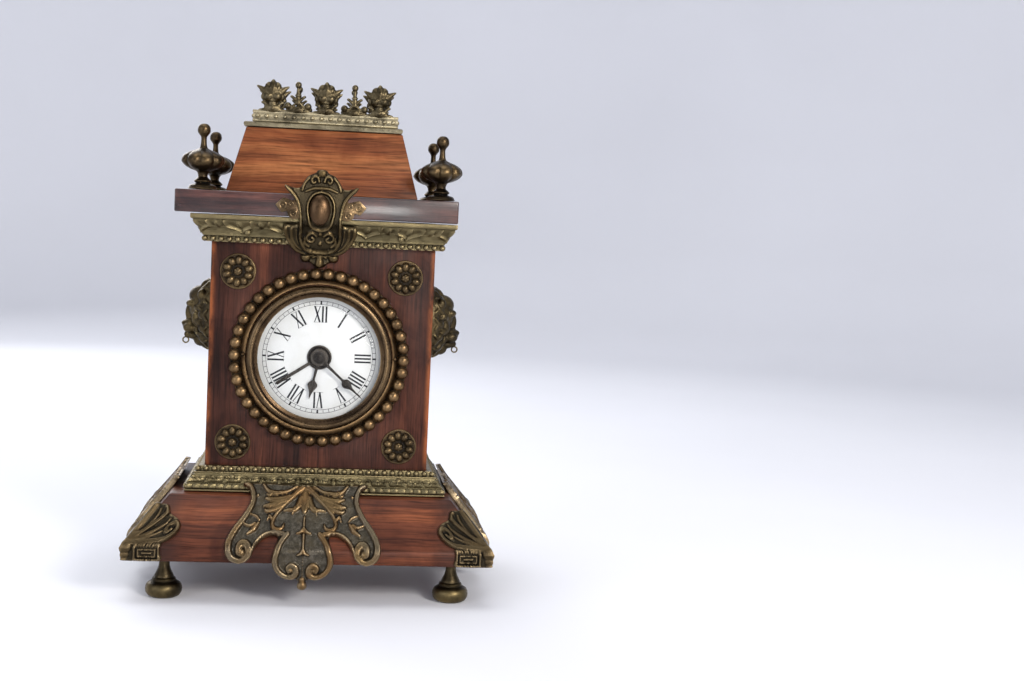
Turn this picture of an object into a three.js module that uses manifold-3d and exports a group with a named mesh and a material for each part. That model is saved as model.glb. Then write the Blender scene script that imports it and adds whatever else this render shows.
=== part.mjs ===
// A small alarm clock in an architectural wooden case with cast brass trim.
// Millimetres, +Z up, the dial faces -Y. The origin is on the ground under the middle of the plinth.
import * as THREE from "three";
import { mergeVertices } from "three/addons/utils/BufferGeometryUtils.js";
import Module from "manifold-3d";

const wasm = await Module();
wasm.setup();

// ---- driving dimensions ------------------------------------------------------------------------
const gap = 0.3; // left between pieces that rest on each other
const boardThickness = 6; // of the case's panels

const plinth = { halfX: 92.75, halfY: 69.5, bottom: 21.9, shoulder: 29.3, top: 53.7, inset: 19.5 };
const body = { x: 1.7, halfX: 58.7, halfY: 35.5, top: 199.7 };
const door = { halfX: 44, bottom: 70, top: 182, thickness: 4 };
const cornice = { x: -2.3, halfX: 73, halfY: 49.8, bottom: 199.7, top: 211.4 };
const roof = { x: -0.5, halfX: 50.7, halfY: 27.5, top: 246.3, inset: 9.1 };
const tray = { x: -1.2, halfX: 42.4, halfY: 19.2, thickness: 2.7 };
const rail = { x: -0.3, halfX: 38.9, halfY: 15.7, wall: 1.2, height: 6.2 };
const finial = { x: -0.3, stepX: 62, stepY: 38.8 };
const foot = { stepX: 74.7, stepY: 51.5 };
const pendant = { x: -3.3, thickness: 3 };
const cartouche = { x: -0.7, thickness: 3 };
const dialCentre = { x: 1.1, z: 125.8 };
const beadRing = { radius: 44.3, bead: 2.6 };
const bezelRadius = 38.4;
const glassRadius = 33.6;
const dialRadius = 35.2;
const dialHole = 36; // radius cut in the front panel
const rosette = { radius: 9.5, stepX: 43.9, stepZ: 45.2, drop: 1.2 };
const lion = { z: 144.7, projection: 17.8, halfWidth: 16, halfHeight: 21.7 };
const nail = { radius: 1.6, baseX: 43.8, baseZ: 61.4, corniceX: 39.9, corniceZ: 191 };
const mountProud = 1.8; // of the corner mounts, out from the plinth

// The movement, as distances from the dial's centre (x, z) and as places along Y.
const arbor = {
  time: [-16, -9],
  alarm: [16, -9],
  third: [12, 8],
  escape: [20, 16],
  balance: [4, 21],
  alarmSet: [-16, 14],
  hammer: [22, -21.8],
  lever: [2, 28.5],
};
const plates = { front: -29.2, back: -8, thickness: 1.5, frontRadius: 41, backRadius: 33 };
const pillarAngles = [12, 110, 168, 250, 290];
const pillarRadius = 30.5;
const bell = { x: 1.1, y: -4, radius: 22, bottom: 58, height: 16, wall: 1.4 };
const handTurn = { minute: 132.4, hour: 191.9, alarm: 236.5 }; // clockwise from twelve

// ---- materials ---------------------------------------------------------------------------------
function finish(color, roughness, metalness) {
  return new THREE.MeshStandardMaterial({ color, roughness, metalness });
}
const stainedWood = finish(0x6b3a26, 0.45, 0);
const darkWood = finish(0x3d2327, 0.35, 0);
const roofWood = finish(0x96522a, 0.4, 0);
const castBrass = finish(0x6b5636, 0.45, 1);
const paleBrass = finish(0x8c8058, 0.4, 1);
const bezelBrass = finish(0x5a3c22, 0.35, 1);
const gearBrass = finish(0xb08d4c, 0.3, 1);
const steel = finish(0x8a8c90, 0.35, 1);
const blackSteel = finish(0x14120f, 0.45, 0.6);
const enamel = finish(0xe9ecee, 0.3, 0);
const clearGlass = finish(0xdfe8ea, 0.05, 0);
clearGlass.transparent = true;
clearGlass.opacity = 0.3;

// ---- shapes ------------------------------------------------------------------------------------
const upright = Math.PI / 2;
const vec = (points) => points.map(([a, b]) => new THREE.Vector2(a, b));

// A closed geometry as a solid whose faces point out.
function solid(geometry) {
  const bare = new THREE.BufferGeometry();
  bare.setAttribute("position", geometry.getAttribute("position"));
  bare.setIndex(geometry.index);
  const merged = mergeVertices(bare, 1e-4);
  const vertProperties = merged.attributes.position.array;
  const triVerts = new Uint32Array(merged.index.array);
  const made = new wasm.Manifold(new wasm.Mesh({ numProp: 3, vertProperties, triVerts }));
  if (made.volume() > 0) return made;
  for (let i = 0; i < triVerts.length; i += 3) {
    [triVerts[i + 1], triVerts[i + 2]] = [triVerts[i + 2], triVerts[i + 1]];
  }
  return new wasm.Manifold(new wasm.Mesh({ numProp: 3, vertProperties, triVerts }));
}

function shapeOf(made) {
  const { vertProperties, triVerts } = made.getMesh();
  const geometry = new THREE.BufferGeometry();
  geometry.setAttribute("position", new THREE.BufferAttribute(vertProperties, 3));
  geometry.setIndex(new THREE.BufferAttribute(triVerts, 1));
  geometry.computeVertexNormals();
  return geometry;
}

const joined = (solids) => solids.reduce((whole, next) => whole.add(next));

function box(x0, x1, y0, y1, z0, z1) {
  const geometry = new THREE.BoxGeometry(x1 - x0, y1 - y0, z1 - z0);
  return solid(geometry.translate((x0 + x1) / 2, (y0 + y1) / 2, (z0 + z1) / 2));
}

// Turned about Z from [radius, z] points, or about Y from [radius, y] points.
function turnedOnZ(points, sides) {
  return solid(new THREE.LatheGeometry(vec(points), sides).rotateX(upright));
}
function turnedOnY(points, sides) {
  return solid(new THREE.LatheGeometry(vec(points), sides));
}
function pinOnY(x, z, radius, y0, y1, sides = 12) {
  const made = turnedOnY([[0, y0], [radius, y0], [radius, y1], [0, y1]], sides);
  return made.translate([x, 0, z]);
}

// A mitred block or frame: [offset, z] points, the offset measured out from halfX by halfY.
// A point marked null as its offset lies on the middle axis.
function mitred(points, halfX, halfY) {
  const radii = points.map(([offset, z]) => [
    offset === null ? 0 : (halfX + offset) * Math.SQRT2,
    z,
  ]);
  const geometry = new THREE.LatheGeometry(vec(radii), 4, Math.PI / 4).rotateX(upright);
  const place = geometry.getAttribute("position");
  for (let i = 0; i < place.count; i++) {
    const y = place.getY(i);
    if (Math.abs(y) > 1e-6) place.setY(i, y + Math.sign(y) * (halfY - halfX));
  }
  return solid(geometry);
}

function outline(points, holes = []) {
  const shape = new THREE.Shape(vec(points));
  for (const hole of holes) shape.holes.push(hole);
  return shape;
}
// A left and right outline from its right half, listed from the top middle to the bottom middle.
function mirrored(half) {
  const left = half.filter(([x]) => x > 0).map(([x, z]) => [-x, z]);
  return outline([...half, ...left.reverse()]);
}
// An upright plate with its outline in X and Z, from yBack towards the front.
function standing(shape, yBack, depth) {
  const geometry = new THREE.ExtrudeGeometry(shape, { depth, bevelEnabled: false, curveSegments: 6 });
  return solid(geometry.rotateX(upright).translate(0, yBack, 0));
}
// A bar along X whose section is drawn in Y and Z.
function barOnX(section, halfLength) {
  const geometry = new THREE.ExtrudeGeometry(outline(section), {
    depth: 2 * halfLength,
    bevelEnabled: false,
  });
  const basis = new THREE.Matrix4().makeBasis(
    new THREE.Vector3(0, 1, 0),
    new THREE.Vector3(0, 0, 1),
    new THREE.Vector3(1, 0, 0),
  );
  return solid(geometry.applyMatrix4(basis).translate(-halfLength, 0, 0));
}
function ball(radius, x, y, z, stretch = [1, 1, 1]) {
  const geometry = new THREE.SphereGeometry(radius, 10, 6).rotateX(upright);
  return solid(geometry.scale(...stretch).translate(x, y, z));
}

// ---- the scene ---------------------------------------------------------------------------------
const clock = new THREE.Group();
// The front pendant stands further out than the mounts at the back, so the case sits a little back.
clock.position.y = (gap + pendant.thickness - mountProud) / 2;

function addTo(parent, name, shape, material, x = 0, y = 0, z = 0, turn = 0) {
  const mesh = new THREE.Mesh(shape, material);
  mesh.name = name;
  mesh.position.set(x, y, z);
  mesh.rotation.z = turn;
  parent.add(mesh);
}
const sides = [["left", -1], ["right", 1]];
const ends = [["front", -1], ["back", 1]];

// ---- plinth and feet ---------------------------------------------------------------------------
const shoulderRise = plinth.top - plinth.shoulder;
addTo(clock, "plinth", shapeOf(mitred([
  [null, plinth.bottom],
  [0, plinth.bottom],
  [0, plinth.shoulder],
  [-plinth.inset, plinth.top],
  [null, plinth.top],
], plinth.halfX, plinth.halfY)), stainedWood);

const footProfile = [
  [0, 0], [6.5, 0], [8.9, 1.6], [9.5, 4.2], [8.6, 7], [6.2, 8.2], [5.8, 9.8], [5.1, 10.2],
  [4.8, 11.4], [3.2, 14.5], [2.7, 17], [2.9, 20], [5.5, 20.8], [5.5, plinth.bottom - gap],
  [0, plinth.bottom - gap],
];
const footShape = shapeOf(turnedOnZ(footProfile, 16));
for (const [end, endSign] of ends) {
  for (const [side, sideSign] of sides) {
    addTo(clock, `foot_${end}_${side}`, footShape, castBrass,
      sideSign * foot.stepX, endSign * foot.stepY);
  }
}

// Corner mounts: a skin over the plinth's corner, drawn with that corner at the local origin.
function plinthCorner(proud) {
  const span = 50;
  const slopeProud = proud * Math.hypot(plinth.inset, shoulderRise) / shoulderRise;
  return mitred([
    [null, plinth.bottom + gap],
    [proud, plinth.bottom + gap],
    [proud, plinth.shoulder],
    [slopeProud - plinth.inset, plinth.top],
    [null, plinth.top],
  ], span, span).translate([span, span, 0]);
}
const mountOutline = outline([
  [-4, 22], [17.5, 22], [17.5, 31], [22, 32], [26, 36.5], [25, 41.5], [21, 43.5], [20.5, 46.5],
  [17, 48.5], [12, 48], [-4, 36],
]);
const mountPrism = standing(mountOutline, 16, 26);
const mountPrismSide = mountPrism.mirror([1, -1, 0]);
const mountSkin = plinthCorner(mountProud).subtract(plinthCorner(gap));
const mountShape = shapeOf(mountSkin.intersect(mountPrism.add(mountPrismSide)));
const corners = [
  ["front_left", -1, -1], ["front_right", 1, -1], ["back_right", 1, 1], ["back_left", -1, 1],
];
corners.forEach(([corner, signX, signY], quarter) => {
  addTo(clock, `corner_mount_${corner}`, mountShape, castBrass,
    signX * plinth.halfX, signY * plinth.halfY, 0, quarter * upright);
});

// ---- pendants on the plinth's shoulders --------------------------------------------------------
const pendantHalf = [
  [0, 58.6], [32, 59.6], [28.6, 56], [28.1, 50.5], [31.9, 43.8], [37.3, 37.6], [39.6, 31], [38, 25.4],
  [32, 22], [26.5, 25.2], [25, 29.5], [21, 33.6], [16, 35.5], [13, 34.5], [14.4, 30.6], [15.5, 22.4],
  [12, 16.4], [6, 14], [2.4, 13.2], [2.6, 10.4], [0, 8.7],
];
const pendantFront = -plinth.halfY - gap - pendant.thickness;
const pendantSection = [
  [-plinth.halfY - gap, 8], [-plinth.halfY - gap, plinth.shoulder + gap / 2],
  [-plinth.halfY + plinth.inset - gap, plinth.top + gap], [-46.2, 60],
  [-46.2 - pendant.thickness, 60], [-53.2, 56], [pendantFront, 31], [pendantFront, 8],
];
const pendantShape = shapeOf(
  standing(mirrored(pendantHalf), -30, 60).intersect(barOnX(pendantSection, 45)),
);
addTo(clock, "front_pendant", pendantShape, castBrass, pendant.x);
for (const [side, sign] of sides) {
  addTo(clock, `side_pendant_${side}`, pendantShape, castBrass,
    sign * (plinth.halfX - plinth.halfY), 0, 0, sign * upright);
}

// ---- the body of the case ----------------------------------------------------------------------
const bodyGroup = new THREE.Group();
bodyGroup.position.x = body.x;
clock.add(bodyGroup);
const bodyBottom = plinth.top + gap;
const bodyTop = body.top - gap;
const frontInside = -body.halfY + boardThickness;
const dialX = dialCentre.x - body.x;

addTo(bodyGroup, "front_panel", shapeOf(
  box(-body.halfX, body.halfX, -body.halfY, frontInside, bodyBottom, bodyTop)
    .subtract(pinOnY(dialX, dialCentre.z, dialHole, -body.halfY - 1, frontInside + 1, 40)),
), stainedWood);
const sideBoard = shapeOf(box(
  -boardThickness / 2, boardThickness / 2, frontInside + gap, body.halfY, bodyBottom, bodyTop,
));
for (const [side, sign] of sides) {
  addTo(bodyGroup, `${side}_panel`, sideBoard, stainedWood, sign * (body.halfX - boardThickness / 2));
}
const frameHalfX = body.halfX - boardThickness - gap;
addTo(bodyGroup, "back_frame", shapeOf(
  box(-frameHalfX, frameHalfX, body.halfY - boardThickness, body.halfY, bodyBottom, bodyTop).subtract(
    box(-door.halfX - gap, door.halfX + gap, 0, 60, door.bottom - gap, door.top + gap)),
), stainedWood);

// Mouldings, as offsets from the body's faces, each with two domed nails in its front.
const baseProfile = [
  [gap, 54.2], [9.7, 54.2], [9.2, 57.4], [5.2, 59.6], [4.4, 63.8], [4, 67], [gap, 67],
];
const corniceProfile = [
  [gap, 184.9], [4, 184.9], [4.2, 188.4], [5.2, 190], [9.2, 194.6], [10.5, 196.4], [10.5, 199.2],
  [gap, 199.2],
];
const closed = (points) => [...points, points[0]];
function nailHead(x, yFace, z, radius) {
  const dome = [
    [0, yFace + 1], [radius, yFace + 1], [radius, yFace], [radius * 0.8, yFace - radius * 0.6],
    [0, yFace - radius],
  ];
  return turnedOnY(dome, 8).translate([x, 0, z]);
}
function moulding(profile, proud, x, z) {
  const strip = mitred(closed(profile), body.halfX, body.halfY);
  const nails = [-1, 1].map((sign) => nailHead(sign * x, -body.halfY - proud, z, nail.radius));
  return joined([strip, ...nails]);
}
addTo(bodyGroup, "base_moulding",
  shapeOf(moulding(baseProfile, 4.8, nail.baseX, nail.baseZ)), castBrass);
addTo(bodyGroup, "cornice_moulding",
  shapeOf(moulding(corniceProfile, 6, nail.corniceX, nail.corniceZ)), castBrass);

// Rosettes at the corners of the front panel.
const front = -body.halfY - gap;
const rosetteShape = shapeOf(turnedOnY([
  [0, front], [rosette.radius, front], [rosette.radius, front - 1], [7.6, front - 2], [3.4, front - 1.4],
  [2.6, front - 3], [0, front - 3.6],
], 16));
for (const [level, signZ] of [["lower", -1], ["upper", 1]]) {
  for (const [side, signX] of sides) {
    addTo(bodyGroup, `rosette_${level}_${side}`, rosetteShape, castBrass,
      dialX + signX * rosette.stepX, 0, dialCentre.z - rosette.drop + signZ * rosette.stepZ);
  }
}

// Lion masks, drawn looking along +X from the panel at x = 0, with a ring under the chin.
const lionHead = joined([
  ball(1, 0, 0, 0, [lion.projection * 0.42, lion.halfWidth, lion.halfHeight]),
  ball(1, 0, 0, 3, [lion.projection * 0.87, 10.5, 12]),
  ball(1, lion.projection * 0.5, 0, -5.8, [lion.projection * 0.5, 7, 7.2]),
  ball(1, lion.projection * 0.34, 0, -13, [lion.projection * 0.39, 5.4, 5.6]),
]).subtract(box(-30, gap, -30, 30, -30, 30));
const chinRing = solid(new THREE.TorusGeometry(1.6, 0.35, 6, 12).rotateX(upright))
  .translate([lion.projection * 0.8, 0, -14.9]);
const lionShape = shapeOf(lionHead.add(chinRing));
for (const [side, sign] of sides) {
  addTo(bodyGroup, `lion_mask_${side}`, lionShape, castBrass,
    sign * body.halfX, 0, lion.z, sign > 0 ? 0 : Math.PI);
}

// ---- cornice board, roof, gallery --------------------------------------------------------------
addTo(clock, "cornice_board", shapeOf(box(
  -cornice.halfX, cornice.halfX, -cornice.halfY, cornice.halfY, cornice.bottom, cornice.top,
)), darkWood, cornice.x);
addTo(clock, "roof_block", shapeOf(mitred([
  [null, cornice.top + gap], [0, cornice.top + gap], [-roof.inset, roof.top], [null, roof.top],
], roof.halfX, roof.halfY)), roofWood, roof.x);

const trayBottom = roof.top + gap;
const trayTop = trayBottom + tray.thickness;
addTo(clock, "gallery_tray", shapeOf(mitred([
  [null, trayBottom], [-0.8, trayBottom], [0, trayBottom + 0.9], [0, trayTop - 0.9], [-0.8, trayTop],
  [null, trayTop],
], tray.halfX, tray.halfY)), paleBrass, tray.x);

const railBottom = trayTop + gap;
const railTop = railBottom + rail.height;
const flowerHalf = [
  [0, 16.8], [4, 15.4], [8.6, 13.2], [5.6, 11.4], [7, 9.6], [6.8, 7], [4.4, 5.4], [3.2, 3.8], [5, 1.4],
  [8, -0.6], [0, -0.6],
];
const smallHalf = [
  [0, 16.4], [1.6, 15.8], [2, 14.4], [1.2, 12.8], [1.4, 9.8], [3.8, 8.2], [4, 6], [7, 5], [7.6, 2],
  [8.5, -0.6], [0, -0.6],
];
const railFrame = mitred(closed([
  [0, railBottom], [0, railTop], [-rail.wall, railTop], [-rail.wall, railBottom],
]), rail.halfX, rail.halfY);
const crestDepth = 2.4;
function crest(half, x, sign) {
  const yBack = crestDepth / 2 + sign * (rail.halfY - rail.wall / 2);
  return standing(mirrored(half), yBack, crestDepth).translate([x, 0, railTop]);
}
const crests = [-1, 1].flatMap((sign) => [
  ...[-28.5, 0, 28.5].map((x) => crest(flowerHalf, x, sign)),
  ...[-15.1, 15.1].map((x) => crest(smallHalf, x, sign)),
]);
addTo(clock, "gallery_rail", shapeOf(joined([railFrame, ...crests])), paleBrass, rail.x);

// ---- urn finials -------------------------------------------------------------------------------
const finialBase = cornice.top + gap;
const finialProfile = [
  [0, 0], [7, 0], [6.6, 2], [3.6, 3], [4.5, 4.2], [2.4, 6.4], [3.4, 9.4], [8, 11], [11.1, 14.6],
  [9.6, 17.6], [5, 20], [1.9, 21.6], [1.4, 27], [3.3, 30.6], [2.2, 33], [0, 33.9],
];
const finialShape = shapeOf(turnedOnZ(finialProfile, 12));
for (const [end, endSign] of ends) {
  for (const [side, sideSign] of sides) {
    addTo(clock, `urn_finial_${end}_${side}`, finialShape, castBrass,
      finial.x + sideSign * finial.stepX, endSign * finial.stepY, finialBase);
  }
}

// ---- cartouche ---------------------------------------------------------------------------------
const cartoucheHalf = [
  [0, 224.2], [4, 223.2], [7, 220.5], [9.8, 217.2], [10.6, 211.8], [14, 212.5], [18.4, 215.5],
  [18.2, 210.5], [21, 205.2], [15, 201.5], [10.6, 203], [10.2, 197], [12.5, 194.6], [17.2, 193.4],
  [15.8, 185.7], [10, 183], [9.2, 180], [9.4, 176.6], [5, 174.8], [0, 173.4],
];
const corniceFront = -cornice.halfY - gap;
const cartoucheSection = [
  [corniceFront, 225], [corniceFront, 198], [-47.2, 196], [-41, 189.4], [-40.2, 184.4], [-36, 183.4],
  [-36, 172], [-38.8, 172], [-39.3, 182], [-43, 184], [-43.8, 188],
  [corniceFront - cartouche.thickness, 197.6], [corniceFront - cartouche.thickness, 225],
];
const behindMoulding = mitred([
  [null, 184.6], [4.6, 184.6], [4.6, 188.8], [10.8, 195.6], [10.8, 199.7], [null, 199.7],
], body.halfX, body.halfY).translate([body.x - cartouche.x, 0, 0]);
addTo(clock, "cartouche", shapeOf(
  standing(mirrored(cartoucheHalf), -30, 30).intersect(barOnX(cartoucheSection, 30))
    .subtract(behindMoulding),
), castBrass, cartouche.x);
const cabochon = turnedOnY([[0, 0], [5.6, 0], [5.1, -1.1], [3.4, -2.1], [0, -2.6]], 16)
  .scale([1, 1, 1.45])
  .translate([-0.5, corniceFront - cartouche.thickness - gap, 203.6]);
addTo(clock, "cabochon", shapeOf(cabochon), paleBrass, cartouche.x);

// ---- dial, bezel, glass, hands -----------------------------------------------------------------
const dialGroup = new THREE.Group();
dialGroup.position.set(dialCentre.x, 0, dialCentre.z);
clock.add(dialGroup);

const pinHeads = [-1, 1].map((sign) => nailHead(sign * 40, front - 0.8, 0, 0.9));
addTo(dialGroup, "bead_ring", shapeOf(joined([...pinHeads, turnedOnY(closed([
  [bezelRadius + 0.5, front], [beadRing.radius + 2.3, front],
  [beadRing.radius + beadRing.bead, front - 2.6], [beadRing.radius + 1.8, front - 4.6],
  [beadRing.radius, front - 5.2], [beadRing.radius - 1.8, front - 4.6],
  [beadRing.radius - beadRing.bead, front - 2.6], [beadRing.radius - 2.8, front - 0.8],
  [bezelRadius + 0.5, front - 0.8],
]), 32)])), castBrass);

const glassBack = front - 3.4;
addTo(dialGroup, "bezel", shapeOf(turnedOnY(closed([
  [glassRadius + 1, front], [bezelRadius, front], [bezelRadius, front - 5], [37.6, front - 6.8],
  [36, front - 7.6], [34, front - 7], [32.2, front - 5.4], [32.2, front - 5],
  [glassRadius + gap, front - 5], [glassRadius + gap, front - 3],
]), 32)), bezelBrass);
addTo(dialGroup, "dial_glass", shapeOf(turnedOnY([
  [0, glassBack], [glassRadius, glassBack], [glassRadius, glassBack - 1.2], [31, glassBack - 1.4],
  [22, glassBack - 2], [11, glassBack - 2.5], [0, glassBack - 2.6],
], 32)), clearGlass);

const dialFace = -body.halfY + 1.2;
addTo(dialGroup, "dial", shapeOf(turnedOnY(closed([
  [3.8, dialFace], [3.8, dialFace + 0.8], [dialRadius, dialFace + 0.8], [dialRadius, dialFace],
]), 40)), enamel);

// Each hand is drawn pointing up and turned about the dial's centre.
function handShape(half, yBack, thickness, hub, clockwise) {
  const blade = standing(mirrored(half), yBack, thickness);
  return shapeOf(blade.add(hub).rotate([0, clockwise, 0]));
}
function hubOnY(inner, outer, y0, y1) {
  if (inner === 0) return pinOnY(0, 0, outer, y0, y1, 16);
  return turnedOnY(closed([[inner, y0], [inner, y1], [outer, y1], [outer, y0]]), 16);
}
const handThickness = 0.5;
const alarmPlane = dialFace - 0.5;
const hourPlane = alarmPlane - 1.3;
const minutePlane = hourPlane - 1.1;
const pipeEnd = dialFace + 3;
const alarmHand = [[0, 26.7], [1, 26.2], [0.75, 6.5], [0, 6.5]];
addTo(dialGroup, "alarm_hand", handShape(
  alarmHand, alarmPlane, handThickness,
  hubOnY(2.6, 6.9, alarmPlane - 0.8, alarmPlane).add(hubOnY(2.6, 3.4, alarmPlane, pipeEnd)),
  handTurn.alarm,
), blackSteel);
const hourHand = [
  [0, 22.8], [0.6, 19.4], [2.5, 16.2], [2.3, 14], [0.8, 12.6], [0.8, 3.6], [0, 3.6],
];
addTo(dialGroup, "hour_hand", handShape(
  hourHand, hourPlane, handThickness,
  hubOnY(1.6, 4.6, hourPlane - 0.7, hourPlane).add(hubOnY(1.6, 2.2, hourPlane, pipeEnd)),
  handTurn.hour,
), blackSteel);
const minuteHand = [
  [0, 32.1], [0.4, 27], [0.7, 23.4], [2.2, 20.4], [2, 18.4], [0.7, 17], [0.6, 3], [0, 3],
];
addTo(dialGroup, "minute_hand", handShape(
  minuteHand, minutePlane, handThickness,
  hubOnY(0, 3.6, minutePlane - 1, minutePlane).add(hubOnY(0, 1.5, minutePlane - 1.6, minutePlane)),
  handTurn.minute,
), blackSteel);

// ---- movement ----------------------------------------------------------------------------------
const movement = new THREE.Group();
movement.position.copy(dialGroup.position);
clock.add(movement);
const backFace = plates.back + plates.thickness;
const arborHole = 1.8;

addTo(movement, "front_plate", shapeOf(
  pinOnY(0, 0, plates.frontRadius, plates.front, plates.front + plates.thickness, 32)
    .subtract(pinOnY(0, 0, arborHole, plates.front - 1, plates.front + 3)),
), gearBrass);
const pillars = pillarAngles.map((degrees) => {
  const angle = THREE.MathUtils.degToRad(degrees);
  return pinOnY(pillarRadius * Math.cos(angle), pillarRadius * Math.sin(angle), 2,
    plates.front + plates.thickness + gap, plates.back + 0.5, 8);
});
const backHoles = [[0, 0], arbor.time, arbor.alarm, arbor.alarmSet]
  .map(([x, z]) => pinOnY(x, z, arborHole, plates.back - 1, backFace + 1));
addTo(movement, "back_plate", shapeOf(
  joined([pinOnY(0, 0, plates.backRadius, plates.back, backFace, 32), ...pillars])
    .subtract(joined(backHoles)),
), gearBrass);

const betweenFront = plates.front + plates.thickness + gap;
const betweenBack = plates.back - gap;
// A wheel with teeth as a saw-edged disc on its arbor.
function wheel(teeth, radius, y, thickness, depth) {
  const points = [];
  for (let i = 0; i < teeth; i++) {
    const step = (2 * Math.PI) / teeth;
    for (const [part, r] of [[0, radius - depth], [0.3, radius], [0.6, radius]]) {
      points.push([r * Math.cos((i + part) * step), r * Math.sin((i + part) * step)]);
    }
  }
  return standing(outline(points), y + thickness, thickness);
}
function addMoving(name, shape, material, [x, z]) {
  addTo(movement, name, shapeOf(shape), material, x, 0, z);
}
const barrelArbor = pinOnY(0, 0, 1.4, betweenFront, -21.4, 8);
const greatWheel = wheel(36, 14.2, -22.4, 0.8, 1.4);
const springDrum = pinOnY(0, 0, 12.6, betweenFront + 0.6, -22.4, 20);
for (const [name, spot] of [["time_barrel", arbor.time], ["alarm_barrel", arbor.alarm]]) {
  addMoving(name, joined([barrelArbor, springDrum, greatWheel]), gearBrass, spot);
}
addMoving("centre_wheel", joined([
  pinOnY(0, 0, 1.2, minutePlane + 0.2, backFace + 1.3, 8), pinOnY(0, 0, 3.4, -23, -20.2, 9),
  wheel(30, 10.6, -20.4, 0.8, 1.2),
]), gearBrass, [0, 0]);
addMoving("third_wheel", joined([
  pinOnY(0, 0, 0.8, betweenFront, betweenBack, 8), pinOnY(0, 0, 3.2, -20.8, -18.8, 10),
  wheel(26, 8.6, -17.4, 0.7, 1.1),
]), gearBrass, arbor.third);
addMoving("escape_wheel", joined([
  pinOnY(0, 0, 0.7, betweenFront, betweenBack, 8), pinOnY(0, 0, 2.2, -17.8, -16.2, 7),
  wheel(15, 6.4, -14.4, 0.6, 1.8),
]), gearBrass, arbor.escape);
const balanceRim = turnedOnY(closed([[7.4, -12.4], [7.4, -11], [8.8, -11], [8.8, -12.4]]), 20);
addMoving("balance_wheel", joined([
  balanceRim, box(-7.8, 7.8, -12.2, -11.2, -0.7, 0.7), pinOnY(0, 0, 0.7, betweenFront, betweenBack, 8),
]), gearBrass, arbor.balance);

// Keys and knobs stand behind the back plate, inside the door.
const keyHoles = [-1, 1].map((sign) => new THREE.Path().absarc(sign * 5, 6, 1.8, 0, 2 * Math.PI));
const keyWings = outline([
  [0, 2], [4, 2.4], [8, 3], [8.6, 6], [7.4, 9], [4, 9.6], [0, 7.6], [-4, 9.6], [-7.4, 9], [-8.6, 6],
  [-8, 3], [-4, 2.4],
], keyHoles);
const wingThickness = 1.6;
const wingPlate = solid(new THREE.ExtrudeGeometry(keyWings, {
  depth: wingThickness,
  bevelEnabled: false,
  curveSegments: 8,
})).translate([0, 0, -wingThickness / 2]);
const keyStem = joined([pinOnY(0, 0, 1.4, -21, 5, 8), pinOnY(0, 0, 2.4, backFace + gap, 3, 10)]);
const keyShape = keyStem.add(wingPlate);
addMoving("time_key", keyShape, steel, arbor.time);
addMoving("alarm_key", keyShape, steel, arbor.alarm);
function knob(radius) {
  const from = backFace + 1.5;
  return turnedOnY([
    [0, from], [radius * 0.5, from], [radius * 0.5, from + 2], [radius, from + 2.6], [radius, from + 6],
    [radius * 0.8, from + 6.8], [0, from + 6.8],
  ], 16);
}
addMoving("hand_set_knob", knob(5.4), gearBrass, [0, 0]);
addMoving("alarm_set_knob", joined([knob(4.4), pinOnY(0, 0, 1, betweenFront, backFace + 2, 8)]),
  gearBrass, arbor.alarmSet);

const leverFrom = backFace + gap;
const leverOutline = outline([[-2, -2], [2, -2], [1.6, 9], [2.6, 13], [0, 15], [-2.6, 13], [-1.6, 9]]);
addMoving("alarm_stop_lever", standing(leverOutline, leverFrom + 1, 1), steel, arbor.lever);

// The hammer hangs beside the bell and swings in to it.
const hammerArm = outline([[-1.5, 1.5], [1.5, 1.5], [1.2, -10], [7.4, -32], [5, -32], [-1.2, -10]]);
const hammerHead = pinOnY(6.4, -34, 2.6, bell.y - 2.4, bell.y + 2.4);
addMoving("alarm_hammer", standing(hammerArm, leverFrom + 1, 1).add(hammerHead), steel, arbor.hammer);

const bellWall = bell.radius - bell.wall;
addTo(clock, "alarm_bell", shapeOf(turnedOnZ([
  [0, bodyBottom], [4, bodyBottom], [4, bell.bottom - 2], [1.6, bell.bottom], [1.6, bell.bottom + 12],
  [6, bell.bottom + 13], [13, bell.bottom + 11.6], [18.6, bell.bottom + 7], [bellWall, bell.bottom],
  [bell.radius, bell.bottom], [20.2, bell.bottom + 8], [14, bell.bottom + 13.4],
  [6, bell.bottom + 15.2], [0, bell.bottom + bell.height],
], 20)), gearBrass, bell.x, bell.y);

// ---- back door ---------------------------------------------------------------------------------
const doorFront = body.halfY - door.thickness;
const doorBoard = box(-door.halfX, door.halfX, doorFront, body.halfY, door.bottom, door.top);
const hingePlace = { x: door.halfX + gap / 2, y: body.halfY + 1.2, radius: 1.1, half: 7 };
function knuckle(z, { x, y, radius, half }) {
  const barrel = [[0, z - half], [radius, z - half], [radius, z + half], [0, z + half]];
  return turnedOnZ(barrel, 10).translate([x, y, 0]);
}
const doorPull = turnedOnY([
  [0, body.halfY - 0.2], [2, body.halfY - 0.2], [1.6, body.halfY + 3], [4, body.halfY + 5],
  [3.4, body.halfY + 8], [0, body.halfY + 9],
], 14).translate([-door.halfX + 9, 0, (door.bottom + door.top) / 2 + 14]);
addTo(bodyGroup, "back_door", shapeOf(joined([doorBoard, doorPull])), stainedWood);
for (const [level, z] of [["lower", door.bottom + 18], ["upper", door.top - 18]]) {
  const leaf = box(hingePlace.x + 0.4, hingePlace.x + 6, body.halfY + gap, body.halfY + 1.4,
    z - hingePlace.half, z + hingePlace.half);
  addTo(bodyGroup, `door_hinge_${level}`, shapeOf(leaf.add(knuckle(z, hingePlace))), gearBrass);
}
const buttonSpot = { x: -door.halfX - 4.4, z: (door.bottom + door.top) / 2 };
const turnButton = outline([[-1.8, -2], [1.8, -2], [1.8, 9.4], [0, 10.6], [-1.8, 9.4]]);
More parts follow.
